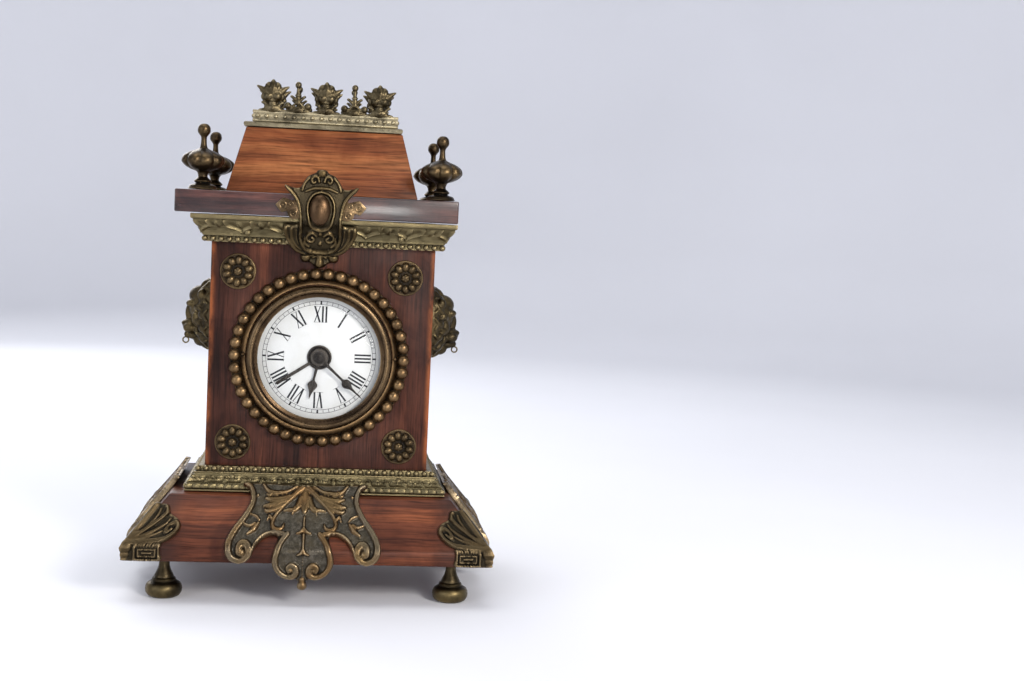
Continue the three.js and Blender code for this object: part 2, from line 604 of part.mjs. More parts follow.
addTo(bodyGroup, "turn_button", shapeOf(
  standing(turnButton, body.halfY + gap + 1.2, 1.2)
    .add(pinOnY(0, 0, 1.5, body.halfY + gap, body.halfY + 2.4, 10))
    .translate([buttonSpot.x, 0, buttonSpot.z]),
), gearBrass);

export default clock;
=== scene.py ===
import math
import random

import bmesh
import bpy
from mathutils import Matrix, Vector, kdtree


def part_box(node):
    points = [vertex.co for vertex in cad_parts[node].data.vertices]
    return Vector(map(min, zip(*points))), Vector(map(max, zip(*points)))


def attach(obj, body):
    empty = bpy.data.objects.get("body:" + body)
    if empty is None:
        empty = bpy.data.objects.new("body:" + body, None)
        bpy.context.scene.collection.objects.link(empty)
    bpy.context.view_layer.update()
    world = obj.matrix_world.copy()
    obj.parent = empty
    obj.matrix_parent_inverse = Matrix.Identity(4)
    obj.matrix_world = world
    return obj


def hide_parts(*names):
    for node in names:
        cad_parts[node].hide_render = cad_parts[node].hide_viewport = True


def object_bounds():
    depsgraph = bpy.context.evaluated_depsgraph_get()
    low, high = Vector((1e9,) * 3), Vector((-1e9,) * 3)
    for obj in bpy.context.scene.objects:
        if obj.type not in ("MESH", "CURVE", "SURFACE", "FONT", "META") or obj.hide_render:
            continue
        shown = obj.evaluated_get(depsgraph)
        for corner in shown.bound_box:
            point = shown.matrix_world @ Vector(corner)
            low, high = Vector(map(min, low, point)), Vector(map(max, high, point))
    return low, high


# A small alarm clock in a wooden case with cast brass trim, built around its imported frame.
# Shapes are drawn in millimetres and brought to metres when a piece is finished.
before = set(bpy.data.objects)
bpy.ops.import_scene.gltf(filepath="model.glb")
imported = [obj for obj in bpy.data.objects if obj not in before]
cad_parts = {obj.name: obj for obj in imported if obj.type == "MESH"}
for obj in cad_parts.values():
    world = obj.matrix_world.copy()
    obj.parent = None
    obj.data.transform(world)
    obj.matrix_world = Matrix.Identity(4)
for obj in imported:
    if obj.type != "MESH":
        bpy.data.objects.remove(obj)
cadBounds = [list(corner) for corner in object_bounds()]
mm = 0.001
random.seed(11)


def boxOf(node):
    low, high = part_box(node)
    return low / mm, high / mm


def addThing(name, data):
    thing = bpy.data.objects.new(name, data)
    bpy.context.scene.collection.objects.link(thing)
    return thing


# the camera comes first
cameraLook = {"place": (0.00714, -0.84502, 0.20027), "yaw": 6.788, "pitch": -4.312, "roll": 2.68,
              "lens": 53.455}


def addCamera(look):
    yaw, pitch, roll = (math.radians(look[key]) for key in ("yaw", "pitch", "roll"))
    ahead = Vector((math.sin(yaw) * math.cos(pitch), math.cos(yaw) * math.cos(pitch), math.sin(pitch)))
    level = ahead.cross(Vector((0, 0, 1))).normalized()
    upward = level.cross(ahead)
    right = math.cos(roll) * level + math.sin(roll) * upward
    up = math.cos(roll) * upward - math.sin(roll) * level
    data = bpy.data.cameras.new("camera")
    data.lens = look["lens"]
    data.sensor_width = 36
    data.clip_start = 0.01
    camera = addThing("camera", data)
    turn = Matrix((right, up, -ahead)).transposed().to_4x4()
    camera.matrix_world = Matrix.Translation(look["place"]) @ turn
    bpy.context.scene.camera = camera


addCamera(cameraLook)
print("camera placed")


# node work for the materials
def paint(red, green, blue):
    def linear(value):
        value = value / 255
        return value / 12.92 if value <= 0.04045 else ((value + 0.055) / 1.055) ** 2.4
    return (linear(red), linear(green), linear(blue), 1)


def painted(look):
    # colours are kept as plain triples in the dictionaries
    return {key: paint(*value) if isinstance(value, tuple) else value for key, value in look.items()}


class NodeDesk:
    def __init__(self, name, **sockets):
        self.material = bpy.data.materials.new(name)
        self.material.use_nodes = True
        self.tree = self.material.node_tree
        self.shader = self.tree.nodes["Principled BSDF"]
        self.coords = self.tree.nodes.new("ShaderNodeTexCoord").outputs["Object"]
        for key, value in sockets.items():
            self.shader.inputs[key.replace("_", " ")].default_value = value

    def wire(self, source, target):
        if isinstance(source, (int, float, tuple, list)):
            target.default_value = source
        else:
            self.tree.links.new(source, target)

    def stretched(self, scale, source=None):
        node = self.tree.nodes.new("ShaderNodeMapping")
        self.wire(source or self.coords, node.inputs["Vector"])
        node.inputs["Scale"].default_value = scale
        return node.outputs["Vector"]

    def noise(self, source, scale, detail=4, rough=0.5, warp=0):
        node = self.tree.nodes.new("ShaderNodeTexNoise")
        self.wire(source, node.inputs["Vector"])
        node.inputs["Scale"].default_value = scale
        node.inputs["Detail"].default_value = detail
        node.inputs["Roughness"].default_value = rough
        node.inputs["Distortion"].default_value = warp
        return node.outputs["Fac"]

    def cells(self, source, scale):
        node = self.tree.nodes.new("ShaderNodeTexVoronoi")
        self.wire(source, node.inputs["Vector"])
        node.inputs["Scale"].default_value = scale
        return node.outputs["Distance"]

    def ramp(self, factor, *stops):
        node = self.tree.nodes.new("ShaderNodeValToRGB")
        ramp = node.color_ramp
        while len(ramp.elements) < len(stops):
            ramp.elements.new(0.5)
        for element, (place, color) in zip(ramp.elements, stops):
            element.position = place
            element.color = color if isinstance(color, tuple) else (color, color, color, 1)
        self.wire(factor, node.inputs["Fac"])
        return node.outputs["Color"]

    def mix(self, factor, first, second, blend="MIX"):
        node = self.tree.nodes.new("ShaderNodeMix")
        node.data_type = "RGBA"
        node.blend_type = blend
        self.wire(factor, node.inputs["Factor"])
        self.wire(first, node.inputs["A"])
        self.wire(second, node.inputs["B"])
        return node.outputs["Result"]

    def sum(self, kind, first, second=0.5):
        node = self.tree.nodes.new("ShaderNodeMath")
        node.operation = kind
        self.wire(first, node.inputs[0])
        self.wire(second, node.inputs[1])
        return node.outputs["Value"]

    def spread(self, factor, low, high, toLow=0.0, toHigh=1.0):
        node = self.tree.nodes.new("ShaderNodeMapRange")
        node.interpolation_type = "SMOOTHSTEP"
        self.wire(factor, node.inputs["Value"])
        for key, value in zip(("From Min", "From Max", "To Min", "To Max"), (low, high, toLow, toHigh)):
            node.inputs[key].default_value = value
        return node.outputs["Result"]

    def axis(self, letter):
        node = self.tree.nodes.new("ShaderNodeSeparateXYZ")
        self.wire(self.coords, node.inputs["Vector"])
        return node.outputs[letter.upper()]

    def nearEdge(self, letter, middle, half, width):
        # rises to 1 where the distance from the middle reaches half
        away = self.sum("ABSOLUTE", self.sum("SUBTRACT", self.axis(letter), middle))
        return self.spread(away, half - width, half)

    def rim(self):
        return self.tree.nodes.new("ShaderNodeNewGeometry").outputs["Pointiness"]

    def attribute(self, name):
        node = self.tree.nodes.new("ShaderNodeAttribute")
        node.attribute_name = name
        return node.outputs["Fac"]

    def recess(self, reach):
        node = self.tree.nodes.new("ShaderNodeAmbientOcclusion")
        node.samples = 8
        node.only_local = True
        node.inputs["Distance"].default_value = reach
        return node.outputs["AO"]

    def bump(self, height, strength, distance, normal=None):
        node = self.tree.nodes.new("ShaderNodeBump")
        node.inputs["Strength"].default_value = strength
        node.inputs["Distance"].default_value = distance
        self.wire(height, node.inputs["Height"])
        if normal:
            self.wire(normal, node.inputs["Normal"])
        return node.outputs["Normal"]

    def close(self, color=None, rough=None, normal=None, metal=None):
        for value, key in ((color, "Base Color"), (rough, "Roughness"), (normal, "Normal"),
                           (metal, "Metallic")):
            if value is not None:
                self.wire(value, self.shader.inputs[key])
        return self.material


# woods: a grain axis, colours from dark to light, and how strongly the light streaks show
def woodFinish(name, look):
    look = painted(look)
    desk = NodeDesk(name, Specular_IOR_Level=look["gloss"], Coat_Weight=look["coat"],
                    Coat_Roughness=look["coatRough"])
    grain = "xyz".index(look["grain"])
    drift = desk.noise(desk.coords, 14, 2)
    bent = desk.mix(look["wave"], desk.coords, drift, "ADD")

    def along(across, length):
        scale = [across] * 3
        scale[grain] = length
        return desk.stretched(scale, bent)

    bands = desk.noise(along(look["bands"], 4.5), 1, 5, 0.6, 0.6)
    fibres = desk.noise(along(760, 15), 1, 4, 0.7)
    pores = desk.noise(along(1500, 60), 1, 2, 0.5)
    blotch = desk.noise(desk.coords, look["blotchScale"], 4, 0.6, 0.8)
    grainColor = desk.ramp(bands, (0.28, look["dark"]), (0.5, look["mid"]), (0.72, look["light"]))
    fibreShade = desk.ramp(fibres, (0.34, 0.3), (0.46, 0.75), (0.6, 1.0))
    shaded = desk.mix(look["fibre"], grainColor, fibreShade, "MULTIPLY")
    smoke = desk.ramp(blotch, (0.34, look["stain"]), (0.62, (1, 1, 1, 1)))
    stained = desk.mix(look["stainAmount"], shaded, smoke, "MULTIPLY")
    poreShade = desk.ramp(pores, (0.34, 0.25), (0.47, 1.0))
    color = desk.mix(0.6, stained, poreShade, "MULTIPLY")
    # lighter near the side edges of the front: partly worn stain, partly painted edge light
    if "edge" in look:
        rag = desk.noise(desk.stretched((90, 90, 30)), 1, 5, 0.7)
        wornAndLit = desk.sum("MULTIPLY", desk.nearEdge(*look["edge"]), desk.spread(rag, 0.35, 0.62))
        front = desk.spread(desk.axis("y"), look["edgeFront"] + 0.002, look["edgeFront"] + 0.008, 1, 0)
        color = desk.mix(desk.sum("MULTIPLY", wornAndLit, front), color, look["edgeColor"])
    # darker towards both ends along the given axis
    if "soot" in look:
        near = desk.nearEdge(*look["soot"])
        color = desk.mix(desk.sum("MULTIPLY", near, 0.55), color, look["sootColor"])
    scuff = desk.noise(desk.coords, 60, 6, 0.7)
    rough = desk.spread(scuff, 0.3, 0.7, look["rough"] - 0.09, look["rough"] + 0.13)
    relief = desk.mix(0.5, fibres, pores)
    normal = desk.bump(relief, look["bump"], 0.0002)
    normal = desk.bump(scuff, 0.12, 0.0004, normal)
    return desk.close(color, rough, normal)


# cast and rolled brass: dark in the recesses, partly grime and partly painted shade, and bright where it
# stands out, partly rubbed wear and partly painted highlight
def brassFinish(name, look):
    look = painted(look)
    desk = NodeDesk(name, Metallic=1.0)
    patches = desk.noise(desk.coords, look["patchScale"], 5, 0.62, 0.5)
    grit = desk.noise(desk.coords, 900, 4, 0.7)
    base = desk.ramp(patches, (0.3, look["dark"]), (0.5, look["mid"]), (0.68, look["light"]))
    base = desk.mix(0.35, base, desk.ramp(grit, (0.3, 0.35), (0.65, 1.0)), "MULTIPLY")
    # grime and painted shade: the colour is darkened where the surface is occluded, in recesses and between
    # parts
    hollow = desk.recess(look["reach"])
    grime = desk.ramp(hollow, (look["grimeFrom"], look["grime"]), (look["grimeTo"], (1, 1, 1, 1)))
    color = desk.mix(1.0, base, grime, "MULTIPLY")
    if "ground" in look:
        lift, band = desk.attribute("lift"), desk.attribute("band")
        aged = desk.noise(desk.coords, 34, 3, 0.5)
        ribbon = desk.mix(desk.spread(aged, 0.42, 0.62), look["ribbon"], look["leaf"])
        high = desk.mix(band, look["leaf"], ribbon)
        high = desk.mix(desk.spread(patches, 0.3, 0.7, 0.2, 0.7), high, base)
        field = desk.mix(0.4, look["ground"], color)
        if "silver" in look:
            mottle = desk.noise(desk.coords, 420, 5, 0.8)
            field = desk.mix(desk.spread(mottle, 0.42, 0.7, 0, 0.8), field, look["silver"])
        # raised relief takes the lighter leaf and ribbon colours and the sunken ground the darker one: partly
        # the casting's own two tones, partly painted highlight on the raised parts and painted shade on the
        # ground
        color = desk.mix(desk.spread(lift, 0.15, 0.6), field, high)
        # the recess darkening again: grime and painted shade
        color = desk.mix(0.8, color, grime, "MULTIPLY")
    # rubbed wear and painted highlight: sharp standing edges are mixed towards the bright colour
    rubbedAndLit = desk.sum("MULTIPLY", desk.spread(desk.rim(), 0.515, 0.57),
                      desk.spread(patches, 0.3, 0.6, 0.3, 1))
    color = desk.mix(desk.sum("MULTIPLY", rubbedAndLit, look["rub"]), color, look["bright"])
    rough = desk.spread(grit, 0.3, 0.7, look["rough"] - 0.08, look["rough"] + 0.14)
    dull = desk.spread(hollow, 0.35, 0.9, 0.25, 0.0)
    rough = desk.sum("ADD", rough, dull)
    metal = desk.spread(hollow, 0.2, 0.8, look["leastMetal"], 1.0)
    pitted = desk.noise(desk.coords, 380, 5, 0.65)
    normal = desk.bump(pitted, look["bump"], 0.00035)
    if "stipple" in look:
        normal = desk.bump(desk.cells(desk.coords, look["stipple"]), 0.35, 0.0002, normal)
    return desk.close(color, rough, normal, metal)


panelLow, panelHigh = (corner * mm for corner in boxOf("front_panel"))
panelMid = (panelLow + panelHigh) / 2
bodyWood = woodFinish("body wood", {
    "grain": "z", "bands": 56, "wave": 0.004,
    "dark": (40, 22, 17), "mid": (76, 42, 31), "light": (110, 63, 44),
    "fibre": 0.8, "stain": (128, 104, 104), "stainAmount": 0.8, "blotchScale": 26,
    "gloss": 0.1, "coat": 0.05, "coatRough": 0.28, "rough": 0.46, "bump": 0.35,
    # lighter side edges of the front: partly worn stain, partly painted edge light
    "edge": ["x", panelMid.x, (panelHigh.x - panelLow.x) / 2, 0.0035],
    "edgeFront": panelLow.y, "edgeColor": (140, 78, 44),
})
roofWood = woodFinish("roof wood", {
    "grain": "x", "bands": 95, "wave": 0.005,
    "dark": (76, 42, 26), "mid": (134, 78, 46), "light": (180, 118, 72),
    "fibre": 0.9, "stain": (160, 122, 110), "stainAmount": 0.6, "blotchScale": 30,
    "gloss": 0.1, "coat": 0.05, "coatRough": 0.22, "rough": 0.46, "bump": 0.3,
})
slabWood = woodFinish("slab wood", {
    "grain": "x", "bands": 60, "wave": 0.003,
    "dark": (44, 27, 26), "mid": (78, 46, 40), "light": (112, 66, 54),
    "fibre": 0.7, "stain": (96, 84, 104), "stainAmount": 0.9, "blotchScale": 34,
    "gloss": 0.35, "coat": 0.5, "coatRough": 0.16, "rough": 0.34, "bump": 0.9,
})
plinthBox = [corner * mm for corner in boxOf("plinth")]
plinthHalf = (plinthBox[1].x - plinthBox[0].x) / 2
plinthWood = woodFinish("plinth wood", {
    "grain": "x", "bands": 75, "wave": 0.004,
    "dark": (58, 30, 20), "mid": (100, 54, 35), "light": (138, 78, 48),
    "fibre": 0.8, "stain": (120, 96, 96), "stainAmount": 0.75, "blotchScale": 28,
    "gloss": 0.12, "coat": 0.06, "coatRough": 0.24, "rough": 0.44, "bump": 0.35,
    "soot": ["x", 0, plinthHalf - 0.018, 0.014], "sootColor": (48, 34, 30),
})
commonBrass = {
    "grimeFrom": 0.4, "grimeTo": 0.92, "reach": 0.0028, "rough": 0.34, "patchScale": 60, "bump": 0.3,
    "leastMetal": 0.6,
}
castBrass = brassFinish("cast brass", {
    **commonBrass, "dark": (40, 33, 25), "mid": (62, 51, 37), "light": (90, 74, 51),
    "bright": (168, 142, 102), "grime": (46, 42, 36), "grimeFrom": 0.35, "grimeTo": 0.88, "reach": 0.0022,
    "rub": 0.35, "rough": 0.36, "patchScale": 55, "bump": 0.25, "leastMetal": 0.55,
})
beadBrass = brassFinish("bead brass", {
    **commonBrass, "dark": (56, 43, 31), "mid": (86, 67, 46), "light": (112, 89, 61),
    "bright": (190, 156, 112), "grime": (40, 40, 34), "grimeFrom": 0.48, "grimeTo": 0.9, "reach": 0.0065,
    "rub": 0.3, "patchScale": 70, "bump": 0.15,
})
mouldingBrass = brassFinish("moulding brass", {
    **commonBrass, "dark": (24, 24, 18), "mid": (36, 34, 25), "light": (52, 48, 35),
    "bright": (146, 130, 96), "grime": (34, 33, 28), "reach": 0.0018, "rub": 0.6, "rough": 0.36,
    "patchScale": 70, "leastMetal": 0.75, "stipple": 1700, "ground": (16, 17, 13), "leaf": (134, 121, 88),
    "ribbon": (124, 113, 82),
})
darkBrass = brassFinish("dark brass", {
    **commonBrass, "dark": (48, 42, 32), "mid": (74, 64, 46), "light": (100, 86, 58),
    "bright": (168, 148, 100), "grime": (34, 32, 28), "grimeFrom": 0.35, "grimeTo": 0.9, "reach": 0.003,
    "rub": 0.6, "rough": 0.4, "leastMetal": 0.5,
})
darkRelief = brassFinish("dark relief", {
    **commonBrass, "dark": (42, 38, 28), "mid": (66, 57, 41), "light": (86, 72, 48),
    "bright": (164, 144, 104), "grime": (56, 53, 46), "rub": 0.4, "leastMetal": 0.55, "stipple": 1300,
    "ground": (60, 53, 40), "leaf": (92, 76, 50), "ribbon": (88, 74, 50),
})
cabochonBrass = brassFinish("cabochon bronze", {
    **commonBrass, "dark": (68, 52, 38), "mid": (84, 65, 47), "light": (96, 75, 54),
    "bright": (170, 140, 100), "grime": (48, 40, 34), "grimeFrom": 0.25, "grimeTo": 0.8, "reach": 0.0014,
    "rub": 0.04, "patchScale": 30, "bump": 0.03, "leastMetal": 0.7,
})
reliefBrass = brassFinish("relief brass", {
    **commonBrass, "dark": (50, 46, 38), "mid": (76, 68, 52), "light": (100, 86, 60),
    "bright": (178, 156, 122), "grime": (42, 42, 40), "rub": 0.6, "stipple": 1500, "silver": (98, 92, 82),
    "ground": (52, 50, 46), "leaf": (110, 84, 53), "ribbon": (106, 95, 78),
})
mountBrass = brassFinish("mount brass", {
    **commonBrass, "dark": (40, 35, 27), "mid": (58, 50, 38), "light": (80, 68, 50),
    "bright": (150, 130, 98), "grime": (42, 42, 40), "rub": 0.5, "rough": 0.36, "stipple": 1500,
    "ground": (40, 37, 30), "leaf": (84, 70, 48), "ribbon": (84, 72, 52),
})
paleBrass = brassFinish("pale brass", {
    **commonBrass, "dark": (50, 43, 31), "mid": (78, 69, 51), "light": (104, 93, 70),
    "bright": (190, 178, 146), "grime": (58, 50, 38), "reach": 0.0018, "rub": 0.55, "rough": 0.33,
    "patchScale": 90,
})
bezelBrass = brassFinish("bezel brass", {
    **commonBrass, "dark": (44, 34, 26), "mid": (66, 52, 38), "light": (88, 70, 50),
    "bright": (172, 146, 108), "grime": (40, 34, 30), "grimeFrom": 0.25, "grimeTo": 0.8, "reach": 0.0016,
    "rub": 0.4, "rough": 0.3, "patchScale": 40, "bump": 0.08, "leastMetal": 0.8,
})
gearBrass = brassFinish("clock brass", {
    **commonBrass, "dark": (168, 136, 78), "mid": (196, 162, 96), "light": (214, 182, 116),
    "bright": (236, 212, 150), "grime": (120, 96, 60), "grimeFrom": 0.25, "grimeTo": 0.8, "reach": 0.002,
    "rub": 0.3, "rough": 0.3, "patchScale": 45, "bump": 0.06, "leastMetal": 0.9,
})
plainSteel = brassFinish("plain steel", {
    **commonBrass, "dark": (120, 122, 126), "mid": (150, 152, 156), "light": (172, 174, 178),
    "bright": (214, 216, 220), "grime": (90, 88, 86), "grimeFrom": 0.25, "grimeTo": 0.8, "reach": 0.002,
    "rub": 0.3, "rough": 0.3, "bump": 0.08, "leastMetal": 0.9,
})


def blackSteelFinish():
    desk = NodeDesk("black steel", Metallic=0.6, Specular_IOR_Level=0.5)
    fleck = desk.noise(desk.coords, 700, 4, 0.6)
    color = desk.ramp(fleck, (0.35, paint(20, 18, 16)), (0.7, paint(42, 36, 31)))
    # painted highlight: sharp edges are mixed towards a lighter grey
    color = desk.mix(desk.spread(desk.rim(), 0.52, 0.6, 0, 0.5), color, paint(104, 97, 88))
    rough = desk.spread(fleck, 0.3, 0.7, 0.34, 0.5)
    return desk.close(color, rough, desk.bump(fleck, 0.15, 0.0001))


def inkFinish():
    desk = NodeDesk("dial ink", Specular_IOR_Level=0.3)
    fleck = desk.noise(desk.coords, 1600, 3, 0.6)
    color = desk.ramp(fleck, (0.3, paint(20, 21, 25)), (0.75, paint(46, 48, 54)))
    return desk.close(color, desk.spread(fleck, 0.3, 0.7, 0.42, 0.6), desk.bump(fleck, 0.05, 0.00005))


def dialFinish():
    desk = NodeDesk("dial white", Specular_IOR_Level=0.4, Coat_Weight=0.2, Coat_Roughness=0.2)
    age = desk.noise(desk.coords, 55, 6, 0.65, 0.6)
    specks = desk.noise(desk.coords, 1300, 3, 0.6)
    color = desk.ramp(age, (0.3, paint(218, 219, 214)), (0.5, paint(226, 228, 226)),
                      (0.75, paint(232, 234, 232)))
    color = desk.mix(0.5, color, desk.ramp(specks, (0.26, 0.72), (0.34, 1.0)), "MULTIPLY")
    return desk.close(color, desk.spread(age, 0.3, 0.7, 0.32, 0.46), desk.bump(specks, 0.05, 0.00005))


def glassFinish():
    desk = NodeDesk("dial glass", Roughness=0.03, IOR=1.5, Alpha=0.06)
    smear = desk.noise(desk.coords, 70, 4, 0.6)
    color = desk.ramp(smear, (0.3, paint(20, 22, 24)), (0.7, paint(36, 38, 40)))
    return desk.close(color, desk.spread(smear, 0.3, 0.7, 0.02, 0.07))


blackSteel = blackSteelFinish()
dialInk = inkFinish()
dialWhite = dialFinish()
clearGlass = glassFinish()
print("finishes made")


# shaping helpers, all in millimetres
def finishPiece(name, shape, material, body, nodes=(), slotName="cast_brass", smoothBelow=35):
    margin, joinWithin = 0.03, 0.0004
    for vert in shape.verts:
        vert.co = [min(max(value, low / mm + margin), high / mm - margin)
                   for value, low, high in zip(vert.co, *cadBounds)]
    bmesh.ops.remove_doubles(shape, verts=shape.verts, dist=joinWithin)
    bmesh.ops.recalc_face_normals(shape, faces=shape.faces)
    bmesh.ops.scale(shape, vec=(mm, mm, mm), verts=shape.verts)
    limit = math.radians(smoothBelow)
    for face in shape.faces:
        face.smooth = True
    for edge in shape.edges:
        edge.smooth = edge.calc_face_angle(0) < limit
    mesh = bpy.data.meshes.new(name)
    shape.to_mesh(mesh)
    shape.free()
    mesh.materials.append(material)
    piece = addThing(name, mesh)
    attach(piece, body)
    if nodes:
        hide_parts(*nodes)


def takeIn(shape, part):
    # adds the faces of one bmesh to another
    carrier = bpy.data.meshes.new("carrier")
    part.to_mesh(carrier)
    part.free()
    shape.from_mesh(carrier)
    bpy.data.meshes.remove(carrier)


def roundEdges(part, edges, width, segments):
    bmesh.ops.bevel(part, geom=edges, offset=width, affect="EDGES", segments=segments, profile=0.5,
                    material=-1)


def smoothRun(points, steps):
    # a soft curve through the points
    last = len(points) - 1
    run = []
    for i in range(last):
        a, b, c, d = (Vector(points[min(max(i + k, 0), last)]) for k in (-1, 0, 1, 2))
        for step in range(steps):
            t = step / steps
            run.append(0.5 * (2 * b + (c - a) * t + (2 * a - 5 * b + 4 * c - d) * t * t
                              + (3 * b - a - 3 * c + d) * t * t * t))
    run.append(Vector(points[-1]))
    return run


def radiusAt(radii, share):
    reach = share * (len(radii) - 1)
    first = min(int(reach), max(0, len(radii) - 2))
    last = min(first + 1, len(radii) - 1)
    return radii[first] + (radii[last] - radii[first]) * (reach - first)


def spunRun(part, spots, centre, axis, steps, closedLoop, joinWithin):
    verts = [part.verts.new(spot) for spot in spots]
    pairs = list(zip(verts, verts[1:]))
    if closedLoop:
        pairs.append((verts[-1], verts[0]))
    edges = [part.edges.new(pair) for pair in pairs]
    bmesh.ops.spin(part, geom=verts + edges, cent=centre, axis=axis, angle=2 * math.pi, steps=steps,
                   use_merge=True)
    bmesh.ops.remove_doubles(part, verts=part.verts, dist=joinWithin)


def turned(profile, centre, axis, steps=48, closedLoop=False, part=None):
    # spins [radius, height] points about an axis through the centre
    part = part or bmesh.new()
    centre = Vector(centre)
    along = Vector((0, 0, 1) if axis == "z" else (0, 1, 0))
    spots = [centre + Vector((radius, 0, 0)) + along * height for radius, height in profile]
    spunRun(part, spots, centre, along, steps, closedLoop, 0.0005)
    return part


def roundBead(part, place, radius, squash=(1, 1, 1), level=2, turn=None):
    matrix = Matrix.Translation(place) @ (turn or Matrix.Identity(4)) @ Matrix.Diagonal((*squash, 1))
    bmesh.ops.create_icosphere(part, subdivisions=level, radius=radius, matrix=matrix)


def squareTurned(profile, halfX, halfY, centre, closedLoop=False):
    # a mitred block or frame: [offset, z] points, the offset measured out from halfX by halfY
    part = bmesh.new()
    reaches = [(0 if offset is None else halfX + offset, z) for offset, z in profile]
    spunRun(part, [(reach, reach, z) for reach, z in reaches], (0, 0, 0), (0, 0, 1), 4, closedLoop, 0.0007)
    for vert in part.verts:
        if abs(vert.co.y) > 0.001:
            vert.co.y += math.copysign(1, vert.co.y) * (halfY - halfX)
    bmesh.ops.translate(part, vec=(centre[0], centre[1], 0), verts=part.verts)
    return part


def outlinePlate(points, back, thickness, bevel, place=None):
    # a flat plate with its outline in X and Z, from its back towards the viewer
    plate = bmesh.new()
    face = plate.faces.new([plate.verts.new((x, back, z)) for x, z in points])
    pushed = bmesh.ops.extrude_face_region(plate, geom=[face], use_keep_orig=True)
    verts = [item for item in pushed["geom"] if isinstance(item, bmesh.types.BMVert)]
    bmesh.ops.translate(plate, vec=(0, -thickness, 0), verts=verts)
    bmesh.ops.recalc_face_normals(plate, faces=plate.faces)
    roundEdges(plate, [edge for edge in plate.edges if edge.calc_face_angle(0) > 0.9], bevel, 2)
    bmesh.ops.triangulate(plate, faces=[face for face in plate.faces if len(face.verts) > 4])
    if place:
        bmesh.ops.transform(plate, matrix=place, verts=plate.verts)
    return plate


def bothHalves(half):
    return [tuple(point) for point in half] + [(-x, z) for x, z in reversed(half) if abs(x) > 0.001]


def placedCopy(source, matrix):
    copy = source.copy()
    bmesh.ops.transform(copy, matrix=matrix, verts=copy.verts)
    return copy


def treeOf(points):
    tree = kdtree.KDTree(len(points))
    for i, point in enumerate(points):
        tree.insert(point, i)
    tree.balance()
    return tree


def softened(node, bevel, segments=3):
    # a merged copy of a node with its sharp edges rounded
    shape = bmesh.new()
    shape.from_mesh(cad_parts[node].data)
    bmesh.ops.scale(shape, vec=(1 / mm, 1 / mm, 1 / mm), verts=shape.verts)
    bmesh.ops.remove_doubles(shape, verts=shape.verts, dist=0.002)
    bmesh.ops.dissolve_limit(shape, angle_limit=0.02, verts=shape.verts[:], edges=shape.edges[:])
    sharp = [edge for edge in shape.edges if edge.calc_face_angle(0) > math.radians(35)]
    roundEdges(shape, sharp, bevel, segments)
    return shape


def fuse(part, voxel, settle=2):
    # melts overlapping lumps into one skin
    mesh = bpy.data.meshes.new("lumps")
    part.to_mesh(mesh)
    part.free()
    holder = addThing("lumps", mesh)
    melt = holder.modifiers.new("melt", "REMESH")
    melt.mode = "VOXEL"
    melt.voxel_size = voxel
    shaped = bpy.data.meshes.new_from_object(holder.evaluated_get(bpy.context.evaluated_depsgraph_get()))
    skin = bmesh.new()
    skin.from_mesh(shaped)
    bpy.data.objects.remove(holder)
    bpy.data.meshes.remove(mesh)
    bpy.data.meshes.remove(shaped)
    for _ in range(settle):
        bmesh.ops.smooth_vert(skin, verts=skin.verts, factor=0.5, use_axis_x=True, use_axis_y=True,
                              use_axis_z=True)
    return skin


def lumpRun(part, points, radii, flat=1.0):
    # a tapering cord of round lumps through the points
    run = smoothRun(points, 5)
    for i, spot in enumerate(run):
        roundBead(part, spot, radiusAt(radii, i / (len(run) - 1)), (1, flat, 1))


# cast relief: a plate over an outline whose face rises along drawn strokes
def strokeSamples(strokes):
    samples = []
    for stroke in strokes:
        points, radii, height = stroke[:3]
        flat = stroke[3] if len(stroke) > 3 else 0.0
        run = smoothRun([(x, z, 0) for x, z in points], 10) if len(points) > 1 else [Vector((*points[0], 0))]
        for i, spot in enumerate(run):
            radius = radiusAt(radii, i / max(1, len(run) - 1))
            lift = height * min(1, 0.55 + 0.45 * radius / max(radii))
            for x in ({spot.x, -spot.x} if abs(spot.x) < 4 else {spot.x}):
                samples.append((Vector((x, spot.y, 0)), radius, lift, flat))
    return samples


